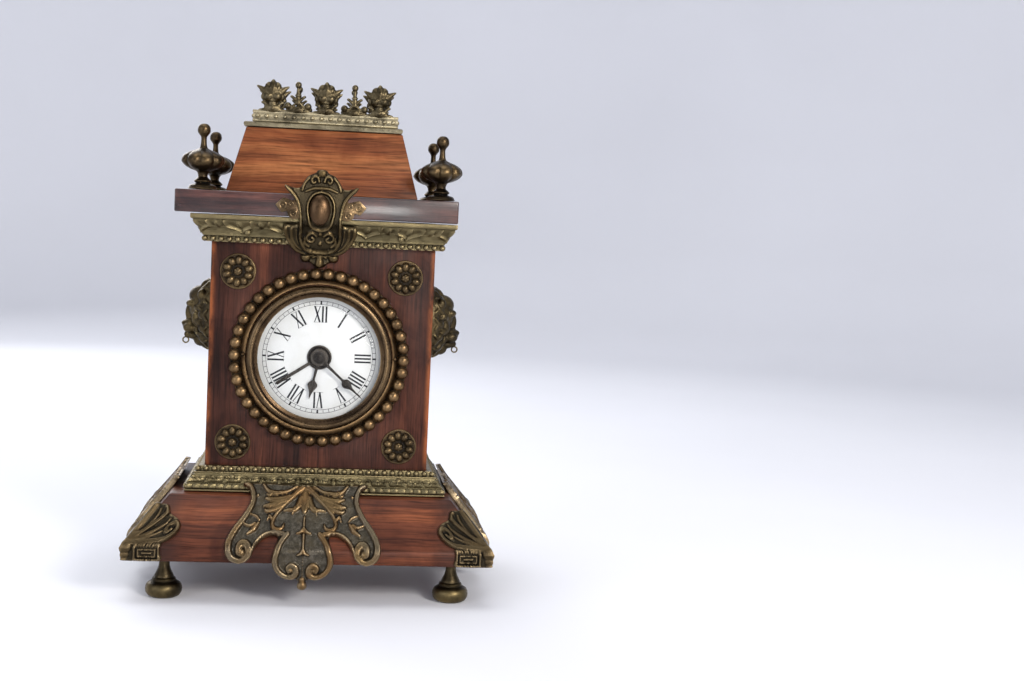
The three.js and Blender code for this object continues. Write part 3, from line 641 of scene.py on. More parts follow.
def reliefSheet(half, strokes, place, cell, ground, rim, roundEnds):
    # half is the outline from the top middle to the bottom middle; place turns (x, z, height) into a point
    border = [point for point in smoothRun([(x, z, 0) for x, z in half], roundEnds) if point.x > -0.001]
    for point in (border[0], border[-1]):
        point.x = 0
    loop = border + [Vector((-p.x, p.y, 0)) for p in reversed(border) if p.x > 0.001]
    dense = []
    for a, b in zip(loop, loop[1:] + loop[:1]):
        count = max(1, int((b - a).length / 0.12))
        dense += [a.lerp(b, i / count) for i in range(count)]
    wide = max(point.x for point in loop)
    low, high = min(point.y for point in loop), max(point.y for point in loop)
    across, upward = 2 * max(2, round(wide / cell)), max(4, round((high - low) / cell))
    sheet = bmesh.new()
    for name in ("lift", "band"):
        sheet.verts.layers.float.new(name)
    liftLayer, bandLayer = sheet.verts.layers.float["lift"], sheet.verts.layers.float["band"]
    stretch = Matrix.Translation((0, (low + high) / 2, 0)) @ Matrix.Diagonal((wide, (high - low) / 2, 1, 1))
    bmesh.ops.create_grid(sheet, x_segments=across, y_segments=upward, size=1, matrix=stretch)
    crossings = {}

    def crossingsAt(z):
        key = round(z, 3)
        if key not in crossings:
            crossings[key] = sorted(a.x + (b.x - a.x) * (z - a.y) / (b.y - a.y)
                                    for a, b in zip(loop, loop[1:] + loop[:1]) if (a.y > z) != (b.y > z))
        return crossings[key]

    outside = [v for v in sheet.verts if sum(x > v.co.x for x in crossingsAt(v.co.y + 1e-4)) % 2 == 0]
    bmesh.ops.delete(sheet, geom=outside, context="VERTS")
    loose = [v for v in sheet.verts if not v.link_faces]
    bmesh.ops.delete(sheet, geom=loose, context="VERTS")
    tree = treeOf(dense)
    for vert in sheet.verts:
        if vert.is_boundary:
            vert.co = tree.find(vert.co)[0]
    inner = [vert for vert in sheet.verts if not vert.is_boundary]
    for _ in range(2):
        bmesh.ops.smooth_vert(sheet, verts=inner, factor=0.5, use_axis_x=True, use_axis_y=True)
    samples = strokeSamples(strokes)
    strokeTree = treeOf([sample[0] for sample in samples])
    widest = max(sample[1] for sample in samples)
    heights = {}

    def heightAt(x, z):
        key = (round(abs(x), 3), round(z, 3))
        if key not in heights:
            spot = Vector((key[0], key[1], 0))
            lift, band = 0, 0
            for point, index, away in strokeTree.find_range(spot, widest):
                _, radius, height, flat = samples[index]
                if away < radius:
                    rise = height * min(1, math.sqrt(1 - (away / radius) ** 2) * (1 + flat))
                    if rise > lift:
                        lift, band = rise, 1 if flat else 0
            away = tree.find(spot)[2]
            soft = math.sqrt(max(0.0, min(1.0, away / rim) * (2 - min(1.0, away / rim))))
            heights[key] = ((ground + lift) * (0.35 + 0.65 * soft), lift, band)
        return heights[key]

    bmesh.ops.recalc_face_normals(sheet, faces=sheet.faces)
    raised = bmesh.ops.extrude_face_region(sheet, geom=sheet.faces[:], use_keep_orig=True)["geom"]
    raised = {item for item in raised if isinstance(item, bmesh.types.BMVert)}
    for vert in sheet.verts:
        x, z = vert.co.x, vert.co.y
        height, lift, band = heightAt(x, z) if vert in raised else (0.0, 0.0, 0)
        # the lift and band layers pick the lighter raised colours in the finish, partly painted highlight
        vert[liftLayer], vert[bandLayer] = lift, band
        vert.co = place(x, z, height)
    return sheet


def foldPath(points):
    # a back surface drawn as [y, z] points: gives its y and its outward direction at a height
    points = sorted(points, key=lambda point: point[1])

    def raw(z):
        if z <= points[0][1]:
            return points[0][0]
        for (y0, z0), (y1, z1) in zip(points, points[1:]):
            if z <= z1:
                return y0 + (y1 - y0) * (z - z0) / (z1 - z0)
        return points[-1][0]

    def soft(z):
        return sum(raw(z + step) for step in (-1.2, -0.6, 0, 0.6, 1.2)) / 5

    def placeAt(x, z, height):
        slope = (soft(z + 0.3) - soft(z - 0.3)) / 0.6
        out = Vector((0, -1, slope)).normalized()
        return Vector((x, soft(z), z)) + out * height
    return placeAt


# wooden boards
woodParts = {
    "plinth": (plinthWood, 1.0, "stained_wood"),
    "front_panel": (bodyWood, 0.7, "stained_wood"),
    "left_panel": (bodyWood, 0.5, "stained_wood"),
    "right_panel": (bodyWood, 0.5, "stained_wood"),
    "back_frame": (bodyWood, 0.5, "stained_wood"),
    "cornice_board": (slabWood, 0.7, "dark_wood"),
    "roof_block": (roofWood, 0.6, "roof_wood"),
}
for node, (finish, bevel, slotName) in woodParts.items():
    finishPiece(node + "_wood", softened(node, bevel), finish, "case", [node], slotName)
print("wooden boards shaped")


# dial, glass and bezel
dialLow, dialHigh = boxOf("dial")
dialMid = (dialLow + dialHigh) / 2
dialSpot = (dialMid.x, 0, dialMid.z)
dialLook = {
    "radius": 35.2, "hole": 3.8, "numeralLow": 18.7, "numeralHigh": 27.2, "bold": 0.95, "thin": 0.44,
    "trackInner": 28.1, "trackOuter": 29.95, "ink": 0.09,
    "widths": {"I": 1.85, "V": 3.7, "X": 3.9},
    "hours": ["XII", "I", "II", "III", "IIII", "V", "VI", "VII", "VIII", "IX", "X", "XI"],
}


def clockwise(degrees):
    return Matrix.Translation(dialSpot) @ Matrix.Rotation(math.radians(degrees), 4, "Y")


def inkBar(part, start, end, width, degrees):
    face = dialLow.y
    a, b = Vector((start[0], 0, start[1])), Vector((end[0], 0, end[1]))
    lean = math.atan2(b.x - a.x, b.z - a.z)
    middle = (a + b) / 2
    matrix = (clockwise(degrees) @ Matrix.Translation((middle.x, face - dialLook["ink"] / 2 + 0.02, middle.z))
              @ Matrix.Rotation(lean, 4, "Y") @ Matrix.Diagonal((width, dialLook["ink"], (b - a).length, 1)))
    bmesh.ops.create_cube(part, size=1, matrix=matrix)


def makeDial(look):
    front, back = dialLow.y, dialHigh.y
    disc = turned([[look["hole"], front], [look["hole"], back], [look["radius"], back],
                   [look["radius"], front + 0.2], [look["radius"] - 0.5, front]], dialSpot, "y", 96, True)
    finishPiece("dial_plate", disc, dialWhite, "case", ["dial"], "enamel")
    ink = bmesh.new()
    low, high = look["numeralLow"], look["numeralHigh"]
    for hour, letters in enumerate(look["hours"]):
        x = -sum(look["widths"][letter] for letter in letters) / 2
        for letter in letters:
            width = look["widths"][letter]
            left, right, middle = x + 0.55, x + width - 0.55, x + width / 2
            if letter == "I":
                inkBar(ink, (middle, low), (middle, high), look["bold"], hour * 30)
            if letter == "V":
                inkBar(ink, (left, high), (middle, low), look["bold"], hour * 30)
                inkBar(ink, (right, high), (middle, low), look["thin"], hour * 30)
            if letter == "X":
                inkBar(ink, (left, high), (right, low), look["bold"], hour * 30)
                inkBar(ink, (right, high), (left, low), look["thin"], hour * 30)
            for level in (low, high):
                inkBar(ink, (x + 0.15, level), (x + width - 0.15, level), 0.14, hour * 30)
            x += width
    for minute in range(60):
        bold = minute % 5 == 0
        inkBar(ink, (0, look["trackInner"]), (0, look["trackOuter"]), 0.9 if bold else 0.24, minute * 6)
    face = dialLow.y
    for radius in (look["trackInner"], look["trackOuter"]):
        turned([[radius - 0.11, face + 0.02], [radius - 0.11, face - 0.05], [radius + 0.11, face - 0.05],
                [radius + 0.11, face + 0.02]], dialSpot, "y", 120, True, ink)
    finishPiece("dial_figures", ink, dialInk, "case", (), "black_steel")


makeDial(dialLook)

bezelBack = boxOf("bezel")[1].y
bezelLook = {"profile": [
    [38.4, 0], [38.4, -4.4], [38.3, -5.4], [37.8, -6.5], [37, -7.25], [36, -7.6], [35.1, -7.45], [34.5, -6.9],
    [34.1, -6.35], [33.5, -6.1], [32.8, -5.95], [32.3, -5.6], [32.2, -5], [33.9, -5], [33.9, -3], [34.6, 0]]}
finishPiece("bezel_ring", turned([[r, bezelBack + y] for r, y in bezelLook["profile"]], dialSpot, "y", 128,
                                 True),
            bezelBrass, "case", ["bezel"], "bezel_brass")

glassBack = boxOf("dial_glass")[1].y
glassLook = {"profile": [[0, 0], [33.6, 0], [33.6, -1], [33, -1.25], [29, -1.6], [22, -2.05], [14, -2.4],
                         [7, -2.55], [0, -2.6]]}
finishPiece("glass_dome", turned([[r, glassBack + y] for r, y in glassLook["profile"]], dialSpot, "y", 96),
            clearGlass, "case", ["dial_glass"], "clear_glass")

ringLook = {
    "base": [[38.9, 0], [46.7, 0], [46.9, -0.5], [46.6, -1.1], [45.7, -1.3], [45.2, -2.3], [44.3, -2.8],
             [43.4, -2.3], [42.4, -1.2], [41.8, -0.9], [41.5, -1.05], [41.2, -0.8], [40.4, -0.45],
             [38.9, -0.4]],
    "count": 42, "radius": 44.3, "bead": 3.42,
}


def makeBeadRing(look):
    back = boxOf("bead_ring")[1].y
    ring = turned([[r, back + y] for r, y in look["base"]], dialSpot, "y", 128, True)
    for i in range(look["count"]):
        turn = 2 * math.pi * (i + 0.5) / look["count"]
        wobble = random.uniform(-0.06, 0.06)
        spot = (dialMid.x + (look["radius"] + wobble) * math.sin(turn), back - 2.45,
                dialMid.z + (look["radius"] + wobble) * math.cos(turn))
        roundBead(ring, spot, look["bead"], (1, 1, 1), 3)
    for side in (-1, 1):
        roundBead(ring, (dialMid.x + side * 40, back - 0.7, dialMid.z + 0.5), 1, (1, 0.8, 1), 2)
    finishPiece("bead_circle", ring, beadBrass, "case", ["bead_ring"])


makeBeadRing(ringLook)

handLook = {
    "alarm_hand": {"body": "alarm_pipe", "turn": 236.5, "thick": 0.5, "half": [
        (0, 26.7), (0.8, 26.6), (0.9, 26.0), (0.85, 6.2), (0, 6.2)], "soft": 0,
        "hub": [[2.6, 0.1], [6.3, 0.1], [6.55, -0.15], [6.4, -0.5], [5.6, -0.7], [5.2, -0.5], [4.9, -0.75],
                [2.6, -0.8]], "pipe": [2.6, 3.4]},
    "hour_hand": {"body": "hour_pipe", "turn": 191.9, "thick": 0.5, "half": [
        (0, 23), (0.35, 21.4), (0.95, 18.8), (2.1, 16.6), (2.6, 15.2), (2.2, 13.9), (1.1, 12.9), (0.65, 11.9),
        (0.7, 8), (1.0, 3.6), (0, 3.6)], "soft": 4,
        "hub": [[1.6, 0.1], [4.5, 0.1], [4.65, -0.2], [4.4, -0.55], [1.6, -0.7]], "pipe": [1.6, 2.2]},
    "minute_hand": {"body": "minute_work", "turn": 132.4, "thick": 0.5, "half": [
        (0, 32.2), (0.3, 29.5), (0.5, 26), (0.9, 23.4), (2.1, 21.3), (2.45, 20), (2.1, 18.6), (1.0, 17.5),
        (0.65, 16.4), (0.7, 10), (0.95, 3), (0, 3)], "soft": 4,
        "hub": [[0, 0.1], [3.3, 0.1], [3.6, -0.3], [3.4, -0.75], [2.4, -0.95], [1.6, -1.0], [1.55, -1.5],
                [0.9, -1.65], [0, -1.7]], "pipe": None},
}


def makeHand(node, look):
    low, high = boxOf(node)
    plane = {"alarm_hand": low.y + 0.8, "hour_hand": low.y + 0.7, "minute_hand": low.y + 1.6}[node]
    half = look["half"]
    if look["soft"]:
        half = [(max(0, p.x), p.y) for p in smoothRun([(x, z, 0) for x, z in half], look["soft"])]
        half[0], half[-1] = (0, half[0][1]), (0, half[-1][1])
    blade = outlinePlate(bothHalves(half), plane, look["thick"], 0.1, clockwise(look["turn"]))
    closedHub = look["pipe"] is not None
    turned([[r, plane + y] for r, y in look["hub"]], dialSpot, "y", 48, closedHub, blade)
    if closedHub:
        inner, outer = look["pipe"]
        turned([[inner, plane], [outer, plane], [outer, high.y], [inner, high.y]], dialSpot, "y", 32, True,
               blade)
    finishPiece(node + "_blade", blade, blackSteel, look["body"], [node], "black_steel")


for node, look in handLook.items():
    makeHand(node, look)
print("dial and hands made")

# rosettes in the corners of the front
rosetteLook = {
    "plate": [[0, 0], [9.3, 0], [9.4, -0.35], [9.1, -0.65], [8.6, -0.7], [0, -0.7]],
    "petals": 10, "petalRadius": 5.9, "petal": 2.3, "boss": 2.4, "seeds": 6, "seedRadius": 1.45, "seed": 0.6,
}


def makeRosette(node, look):
    low, high = boxOf(node)
    spot = ((low.x + high.x) / 2, 0, (low.z + high.z) / 2)
    shape = turned([[r, high.y + y] for r, y in look["plate"]], spot, "y", 64)
    start = random.uniform(-0.1, 0.1)
    for i in range(look["petals"]):
        turn = start + 2 * math.pi * i / look["petals"]
        tip = Vector((math.sin(turn), 0, math.cos(turn)))
        aim = Matrix.Rotation(turn, 4, "Y")
        middle = Vector((spot[0], high.y - 0.9, spot[2])) + tip * look["petalRadius"]
        roundBead(shape, middle, look["petal"], (0.92, 0.95, 1.12), 3, aim)
    roundBead(shape, (spot[0], high.y - 1.4, spot[2]), look["boss"], (1, 0.95, 1), 3)
    for i in range(look["seeds"]):
        turn = 2 * math.pi * i / look["seeds"]
        x, z = look["seedRadius"] * math.sin(turn), look["seedRadius"] * math.cos(turn)
        roundBead(shape, (spot[0] + x, high.y - 2.7, spot[2] + z), look["seed"])
    finishPiece(node + "_flower", shape, castBrass, "case", [node])


for level in ("lower", "upper"):
    for side in ("left", "right"):
        makeRosette(f"rosette_{level}_{side}", rosetteLook)
print("rosettes made")


# cast mouldings round the case: a closed profile of [offset, z, relief] points on every side
frontLow, frontHigh = boxOf("front_panel")
bodyMid = (frontLow + frontHigh) / 2
panelHalf = (frontHigh.x - frontLow.x) / 2
panelFront, panelBack = frontLow.y, boxOf("right_panel")[1].y
caseSpot = (bodyMid.x, (panelFront + panelBack) / 2)
caseHalf = (panelHalf, (panelBack - panelFront) / 2)


def ridge(distance, width):
    return math.exp(-(distance / width) ** 2)


def leafBump(across, up, wide, tall):
    inside = 1 - (across / wide) ** 2 - (up / tall) ** 2
    return math.sqrt(inside) * (1 - 0.35 * ridge(across, 0.25)) if inside > 0 else 0


def corniceRelief(u, v, pitch, length):
    # a calyx on each low point: two ribs bow outwards and then turn up, with a leaf inside and a bud between
    near = abs((u / pitch + 0.5) % 1 - 0.5) * pitch
    far = pitch / 2 - near
    bend = 0.6 * pitch / 2
    share = min(1, near / bend)
    curve = 0.06 + 0.52 * share ** 0.55
    away = (v - curve) * length / math.sqrt(1 + (0.5 * length / bend / max(0.35, share ** 0.45)) ** 2)
    lift = 1.15 * ridge(away, 0.5) if near < bend else 0
    if v > 0.5:
        lift = max(lift, 1.1 * ridge(near - bend, 0.5))
    if v < curve - 0.04:
        lift = max(lift, 0.3)
    lift = max(lift, 0.9 * leafBump(near, (v - 0.7) * length, 1.4, 2.4))
    lift = max(lift, 0.9 * leafBump(far, (v - 0.72) * length, 1.3, 2.3))
    return max(lift, 0.6 * leafBump(far, (v - 0.22) * length, 2.6, 1.4))


def baseRelief(u, v, pitch, length):
    near = abs((u / pitch + 0.5) % 1 - 0.5) * pitch
    share = near / (pitch / 2)
    curve = 0.86 - 0.72 * share ** 1.4
    away = (v - curve) * length / math.sqrt(1 + (0.9 * length / pitch) ** 2)
    dots = 0.6 + 0.4 * math.cos(u * 2 * math.pi / 1.3)
    lift = 1.1 * ridge(away, 0.45) * dots
    lift = max(lift, 1.1 * leafBump(near, (v - 0.3) * length, 1.2, 1.8))
    return max(lift, 0.6 * leafBump(pitch / 2 - near, (v - 0.78) * length, 1.2, 1.0))


def tongueRelief(u, v, pitch, length):
    share = ((u / pitch) % 1) * 2 - 1
    return 1.05 * math.sqrt(max(0, 1 - share ** 2)) * min(1, (1 - abs(2 * v - 1)) * 3)


mouldingLook = {
    "base_moulding": {
        "profile": [(0.3, 54.2, ""), (9.2, 54.2, ""), (9.6, 54.5, ""), (9.6, 55.2, ""), (9.1, 55.5, "tongue"),
                    (9.0, 57, "tongue"), (8.3, 58.7, "tongue"), (8.5, 59, ""), (7.2, 59.4, "field"),
                    (5.6, 60.6, "field"), (4.9, 62.4, "field"), (4.7, 63.2, ""), (5.1, 63.5, ""),
                    (5.0, 63.9, ""), (3.2, 64.1, ""), (2.9, 66.8, ""), (0.3, 67, "")],
        "reliefs": {"tongue": (tongueRelief, 3.4), "field": (baseRelief, 8.4)},
        "beads": (3.1, 65.4, 1.62, 4.28), "nails": (43.8, 61.4, 5.0, 1.6)},
    "cornice_moulding": {
        "profile": [(0.3, 184.9, ""), (3.0, 185, ""), (3.3, 187.9, ""), (4.4, 188.2, ""), (4.6, 188.8, ""),
                    (4.3, 189.2, "field"), (4.9, 190.8, "field"), (6.5, 193, "field"), (8.6, 195.2, "field"),
                    (9.4, 196.4, "field"), (10.2, 196.7, ""), (10.5, 197.2, ""), (10.5, 199, ""),
                    (10.1, 199.2, ""), (0.3, 199.2, "")],
        "reliefs": {"field": (corniceRelief, 19.5)},
        "beads": (3.4, 186.5, 1.62, 4.3), "nails": (39.9, 190.4, 5.6, 1.7)},
}


# distances between the points of a casting, along relief and along plain runs
fineStep, plainStep, sideStep = 0.42, 1.2, 0.5


def sides():
    for quarter in range(4):
        half, reach = caseHalf if quarter % 2 == 0 else caseHalf[::-1]
        yield half, reach, Matrix.Rotation(quarter * math.pi / 2, 4, "Z")


def makeMoulding(node, look):
    path = []
    profile = look["profile"] + look["profile"][:1]
    for (o0, z0, k0), (o1, z1, k1) in zip(profile, profile[1:]):
        count = max(1, round(math.hypot(o1 - o0, z1 - z0) / (fineStep if k0 else plainStep)))
        path += [(o0 + (o1 - o0) * i / count, z0 + (z1 - z0) * i / count, k0 if k0 and k1 else "")
                 for i in range(count)]
    path.append(path[0])
    fields = {}
    for kind in look["reliefs"]:
        rows = [i for i, point in enumerate(path) if point[2] == kind]
        fields[kind] = (rows[0], rows[-1])
    normals = []
    for i in range(len(path)):
        before, after = path[(i - 1) % (len(path) - 1)], path[(i + 1) % (len(path) - 1)]
        away = Vector((after[1] - before[1], -(after[0] - before[0])))
        normals.append(away.normalized() if away.length else Vector((1, 0)))
    shape = bmesh.new()
    for half, reach, turn in sides():
        side = bmesh.new()
        liftLayer = side.verts.layers.float.new("lift")
        bmesh.ops.create_grid(side, x_segments=round(2 * half / sideStep), y_segments=len(path) - 1, size=1)
        for vert in side.verts:
            row = min(len(path) - 1, round((vert.co.y + 1) / 2 * (len(path) - 1)))
            offset, z, kind = path[row]
            lift = 0
            if kind:
                make, pitch = look["reliefs"][kind]
                first, last = fields[kind]
                even = half / max(1, round(half / pitch))
                v = (row - first) / max(1, last - first)
                lift = make(vert.co.x * half, v, even, fineStep * (last - first))
            # the lift picks the lighter raised colour, partly painted highlight; plain runs stay close to the
            # darker ground
            vert[liftLayer] = lift if kind else 0.16
            offset += lift * normals[row].x
            z += lift * normals[row].y
            vert.co = turn @ Vector((vert.co.x * (half + offset), -(reach + offset), z))
        takeIn(shape, side)
    bmesh.ops.remove_doubles(shape, verts=shape.verts, dist=0.004)
    castVerts = set(shape.verts)
    offset, level, radius, pitch = look["beads"]
    for half, reach, turn in sides():
        count = round(2 * (half + offset) / pitch)
        for i in range(count):
            u = (half + offset) * (2 * i / count - 1)
            spot = turn @ Vector((u, -(reach + offset), level))
            roundBead(shape, spot, radius * random.uniform(0.94, 1.03))
    x, level, offset, radius = look["nails"]
    for side in (-1, 1):
        roundBead(shape, (side * x, -(caseHalf[1] + offset), level), radius, (1, 0.7, 1), 3)
    liftLayer = shape.verts.layers.float["lift"]
    for vert in shape.verts:
        # beads take the full raised colour, partly painted highlight
        if vert not in castVerts:
            vert[liftLayer] = 1
    bmesh.ops.translate(shape, vec=(caseSpot[0], caseSpot[1], 0), verts=shape.verts)
    finishPiece(node + "_casting", shape, mouldingBrass, "case", [node])


for node, look in mouldingLook.items():
    makeMoulding(node, look)
print("mouldings made")

# urn finials with eight swelling lobes
finialLook = {
    "profile": [(0, 0), (7, 0), (7.1, 1), (6.4, 2.1), (3.8, 2.9), (3.7, 3.3), (4.5, 4.1), (3.9, 5),
                (2.6, 6.2),
                (2.5, 7.4), (3.4, 9.2), (6, 10.1), (9, 11.6), (10.9, 13.6), (11.1, 15), (10.3, 17),
                (7.6, 18.9),
                (4.6, 20.1), (2.5, 21), (1.8, 22), (1.5, 24), (1.45, 26.6), (2.1, 27.8), (3.1, 29.2),
                (3.3, 30.7), (2.9, 32.4), (1.7, 33.6), (0, 33.9)],
    "lobes": 8, "from": 9, "to": 20.6, "depth": 0.14,
}


def makeFinial(node, look):
    low, high = boxOf(node)
    spot = ((low.x + high.x) / 2, (low.y + high.y) / 2, low.z)
    run = [(max(0, p.x), p.y) for p in smoothRun([(r, z, 0) for r, z in look["profile"]], 3)]
    run[0], run[-1] = look["profile"][0], look["profile"][-1]
    shape = turned(run, spot, "z", 96)
    start = random.uniform(0, 0.5)
    for vert in shape.verts:
        z = vert.co.z - low.z
        if look["from"] < z < look["to"]:
            swell = math.sin(math.pi * (z - look["from"]) / (look["to"] - look["from"])) ** 0.6
            turn = math.atan2(vert.co.y - spot[1], vert.co.x - spot[0]) + start
            groove = (1 - abs(math.sin(turn * look["lobes"] / 2))) ** 1.6
            keep = 1 - look["depth"] * groove * swell
            vert.co.x = spot[0] + (vert.co.x - spot[0]) * keep
            vert.co.y = spot[1] + (vert.co.y - spot[1]) * keep
    finishPiece(node + "_urn", shape, castBrass, "case", [node])


footLook = {"profile": [(0, 0), (6.5, 0), (8.2, 0.9), (9.2, 2.4), (9.5, 4.2), (9.3, 5.6), (8.6, 7),
                        (7.2, 7.9),
                        (6.1, 8.3), (6.2, 9.2), (5.8, 9.9), (5.1, 10.3), (5.0, 10.9), (4.5, 12), (3.5, 14),
                        (2.9, 16.2), (2.7, 18), (2.9, 19.9), (3.4, 20.4), (5.4, 20.7), (5.5, 21.2),
                        (5.4, 21.6),
                        (0, 21.6)]}


def makeFoot(node, look):
    low, high = boxOf(node)
    shape = turned(look["profile"], ((low.x + high.x) / 2, (low.y + high.y) / 2, low.z), "z", 64)
    finishPiece(node + "_turned", shape, darkBrass, "case", [node])


for end in ("front", "back"):
    for side in ("left", "right"):
        makeFinial(f"urn_finial_{end}_{side}", finialLook)
        makeFoot(f"foot_{end}_{side}", footLook)
print("finials and feet turned")

# the gallery on the roof
galleryLook = {
    "flowers": (-28.5, 0, 28.5), "sprigs": (-15.1, 15.1), "beads": 16, "sideBeads": 7, "bead": 1.15,
    "wall": 1.2,
    "beadLevel": 3.05, "crestLevel": 6.0,
    "rail": [(0, 0), (0.25, 0.3), (0.25, 1.2), (0, 1.5), (0, 4.6), (0.25, 4.9), (0.25, 5.9), (0, 6.2),
             (-1.2, 6.2), (-1.2, 0)],
}


def flowerLumps():
    part = bmesh.new()
    roundBead(part, (0, 0, 0.4), 1, (7.8, 1.5, 1.3), 3)
    roundBead(part, (0, 0, 1.4), 1, (4.8, 1.9, 2.7), 3)
    roundBead(part, (0, -1.2, 1.6), 1, (1.7, 1.2, 1.7), 2)
    roundBead(part, (0, 0, 4.3), 1, (2.4, 1.8, 1.5), 2)
    roundBead(part, (0, 0, 5.6), 1, (3.9, 2.3, 0.85), 3)
    roundBead(part, (0, 0, 8.2), 1, (4.6, 2.6, 2.9), 3)
    for side in (-1, 1):
        roundBead(part, (side * 2.3, -1.1, 7.9), 1, (2.5, 2.2, 2.4), 3)
        roundBead(part, (side * 4.6, 0.2, 7.6), 1, (2.0, 1.7, 2.3), 2)
        lumpRun(part, [(side * 2.4, 0, 9.6), (side * 4.4, -0.4, 10.6), (side * 6.4, -0.5, 12.0),
                       (side * 8.5, -0.5, 13.2)], [2.4, 2.1, 1.3, 0.5], 0.8)
        lumpRun(part, [(side * 1.2, -0.5, 10), (side * 2.4, -0.7, 12), (side * 2.9, -0.5, 13.6),
                       (side * 2.2, -0.2, 14.9)], [2.4, 2.2, 1.5, 0.8], 0.9)
        lumpRun(part, [(side * 3.0, 0.2, 2.8), (side * 4.6, 0, 4.3), (side * 5.6, 0, 4.4)], [1.2, 1.0, 0.7])
    lumpRun(part, [(0, -0.6, 9.5), (0, -0.9, 12), (0, -0.6, 14.6), (0, -0.1, 16.4)], [2.6, 2.6, 1.9, 0.8],
            0.9)
    return fuse(part, 0.32)


def sprigLumps():
    part = bmesh.new()
    roundBead(part, (0, 0, 0.3), 1, (7.4, 1.5, 1.2), 3)
    roundBead(part, (0, -0.2, 1.2), 1, (3.4, 1.7, 2.0), 2)
    for side in (-1, 1):
        roundBead(part, (side * 5.4, 0, 3.2), 2.0, (1, 0.95, 1), 3)
        lumpRun(part, [(side * 4.2, 0, 0.8), (side * 3.0, -0.3, 2.8), (side * 1.2, -0.5, 4.6), (0, -0.5, 6)],
                [0.9, 0.8, 0.8, 0.9])
        lumpRun(part, [(0, -0.4, 5.2), (side * 1.8, -0.5, 6.9), (side * 3.4, -0.3, 8.3),
                       (side * 4.1, 0, 8.1)],
                [0.9, 1.0, 0.8, 0.4])
    lumpRun(part, [(0, -0.2, 5), (0, 0, 9), (0, 0, 13)], [1.5, 1.25, 0.95])
    roundBead(part, (0, 0, 9.1), 1, (2.0, 1.6, 0.6), 2)
    roundBead(part, (0, 0, 14.6), 1.8, (1, 1, 1.05), 3)
    return fuse(part, 0.32)


def makeGallery(look):
    low, high = boxOf("gallery_tray")
    half, spot = (high - low) / 2, (low + high) / 2
    tall = high.z - low.z
    edge = [(None, low.z), (-1.2, low.z), (-0.4, low.z + 0.25), (0, low.z + tall * 0.5),
            (-0.3, high.z - 0.35), (-1.0, high.z), (None, high.z)]
    tray = squareTurned(edge, half.x, half.y, (spot.x, spot.y))
    finishPiece("gallery_tray_rolled", tray, paleBrass, "case", ["gallery_tray"], "pale_brass")
    low, high = boxOf("gallery_rail")
    spot = (low + high) / 2
    halfX, halfY = (high.x - low.x) / 2 - 0.25, (high.y - low.y) / 2 - 0.85
    band = [(offset, low.z + z) for offset, z in look["rail"]]
    shape = squareTurned(band, halfX, halfY, (spot.x, spot.y), True)
    level = low.z + look["beadLevel"]
    for side in (-1, 1):
        for i in range(look["beads"]):
            x = halfX * ((i + 0.5) / look["beads"] * 2 - 1)
            roundBead(shape, (spot.x + x, spot.y + side * halfY, level), look["bead"], (1.15, 0.8, 0.95))
        for i in range(look["sideBeads"]):
            y = halfY * ((i + 0.5) / look["sideBeads"] * 2 - 1)
            roundBead(shape, (spot.x + side * halfX, spot.y + y, level), look["bead"], (0.8, 1.15, 0.95))
    flower, sprig = flowerLumps(), sprigLumps()
    top = low.z + look["crestLevel"]
    for side in (-1, 1):
        y = spot.y + side * (halfY - look["wall"] / 2)
        for source, places in ((flower, look["flowers"]), (sprig, look["sprigs"])):
            for x in places:
                turn = Matrix.Rotation(0 if side < 0 else math.pi, 4, "Z")
                matrix = Matrix.Translation((spot.x + x, y, top)) @ turn
                takeIn(shape, placedCopy(source, matrix @ Matrix.Diagonal((0.99, 0.9, 0.985, 1))))
    flower.free()
    sprig.free()
    finishPiece("gallery_crest", shape, paleBrass, "case", ["gallery_rail"], "pale_brass", 50)


makeGallery(galleryLook)
print("gallery made")

# lion masks on the sides, drawn looking along X
lionLook = {
    "masses": [((0.5, 0, 0), (8.4, 15, 20.6)), ((3.5, 0, 4.2), (10.5, 9.8, 12)), ((7, 0, 9.5), (7, 6.5, 6)),
               ((11.6, 3.7, 5.4), (3.6, 3.2, 2.3)), ((10.4, 0, 0.2), (5.4, 2.4, 7.4)),
               ((11, 0, -6.6), (6.2, 4.6, 4.4)), ((15, 0, -5.6), (2.7, 2.5, 1.8)),
               ((12.3, 2.9, -8), (4.2, 3.0, 3.1)), ((7.4, 6.3, -2.4), (4.4, 3.4, 5)),
               ((6.6, 0, -14.6), (4.3, 3.6, 3.6)), ((10.2, 0, -12.2), (4.4, 3.2, 2.4)),
               ((13.8, 0, -11.8), (2.3, 1.9, 2.2)), ((6.2, 9.4, 10.6), (2.6, 2.4, 3.2)),
               ((9.9, 4.3, 2.5), (1.9, 1.7, 1.3))],
    "locks": 26, "rows": ((0.62, 0.93, 8.6), (0.42, 0.74, 9.8)), "halfY": 15.2, "halfZ": 20.6,
    "ring": (15.1, -14.9, 1.55, 0.4),
}


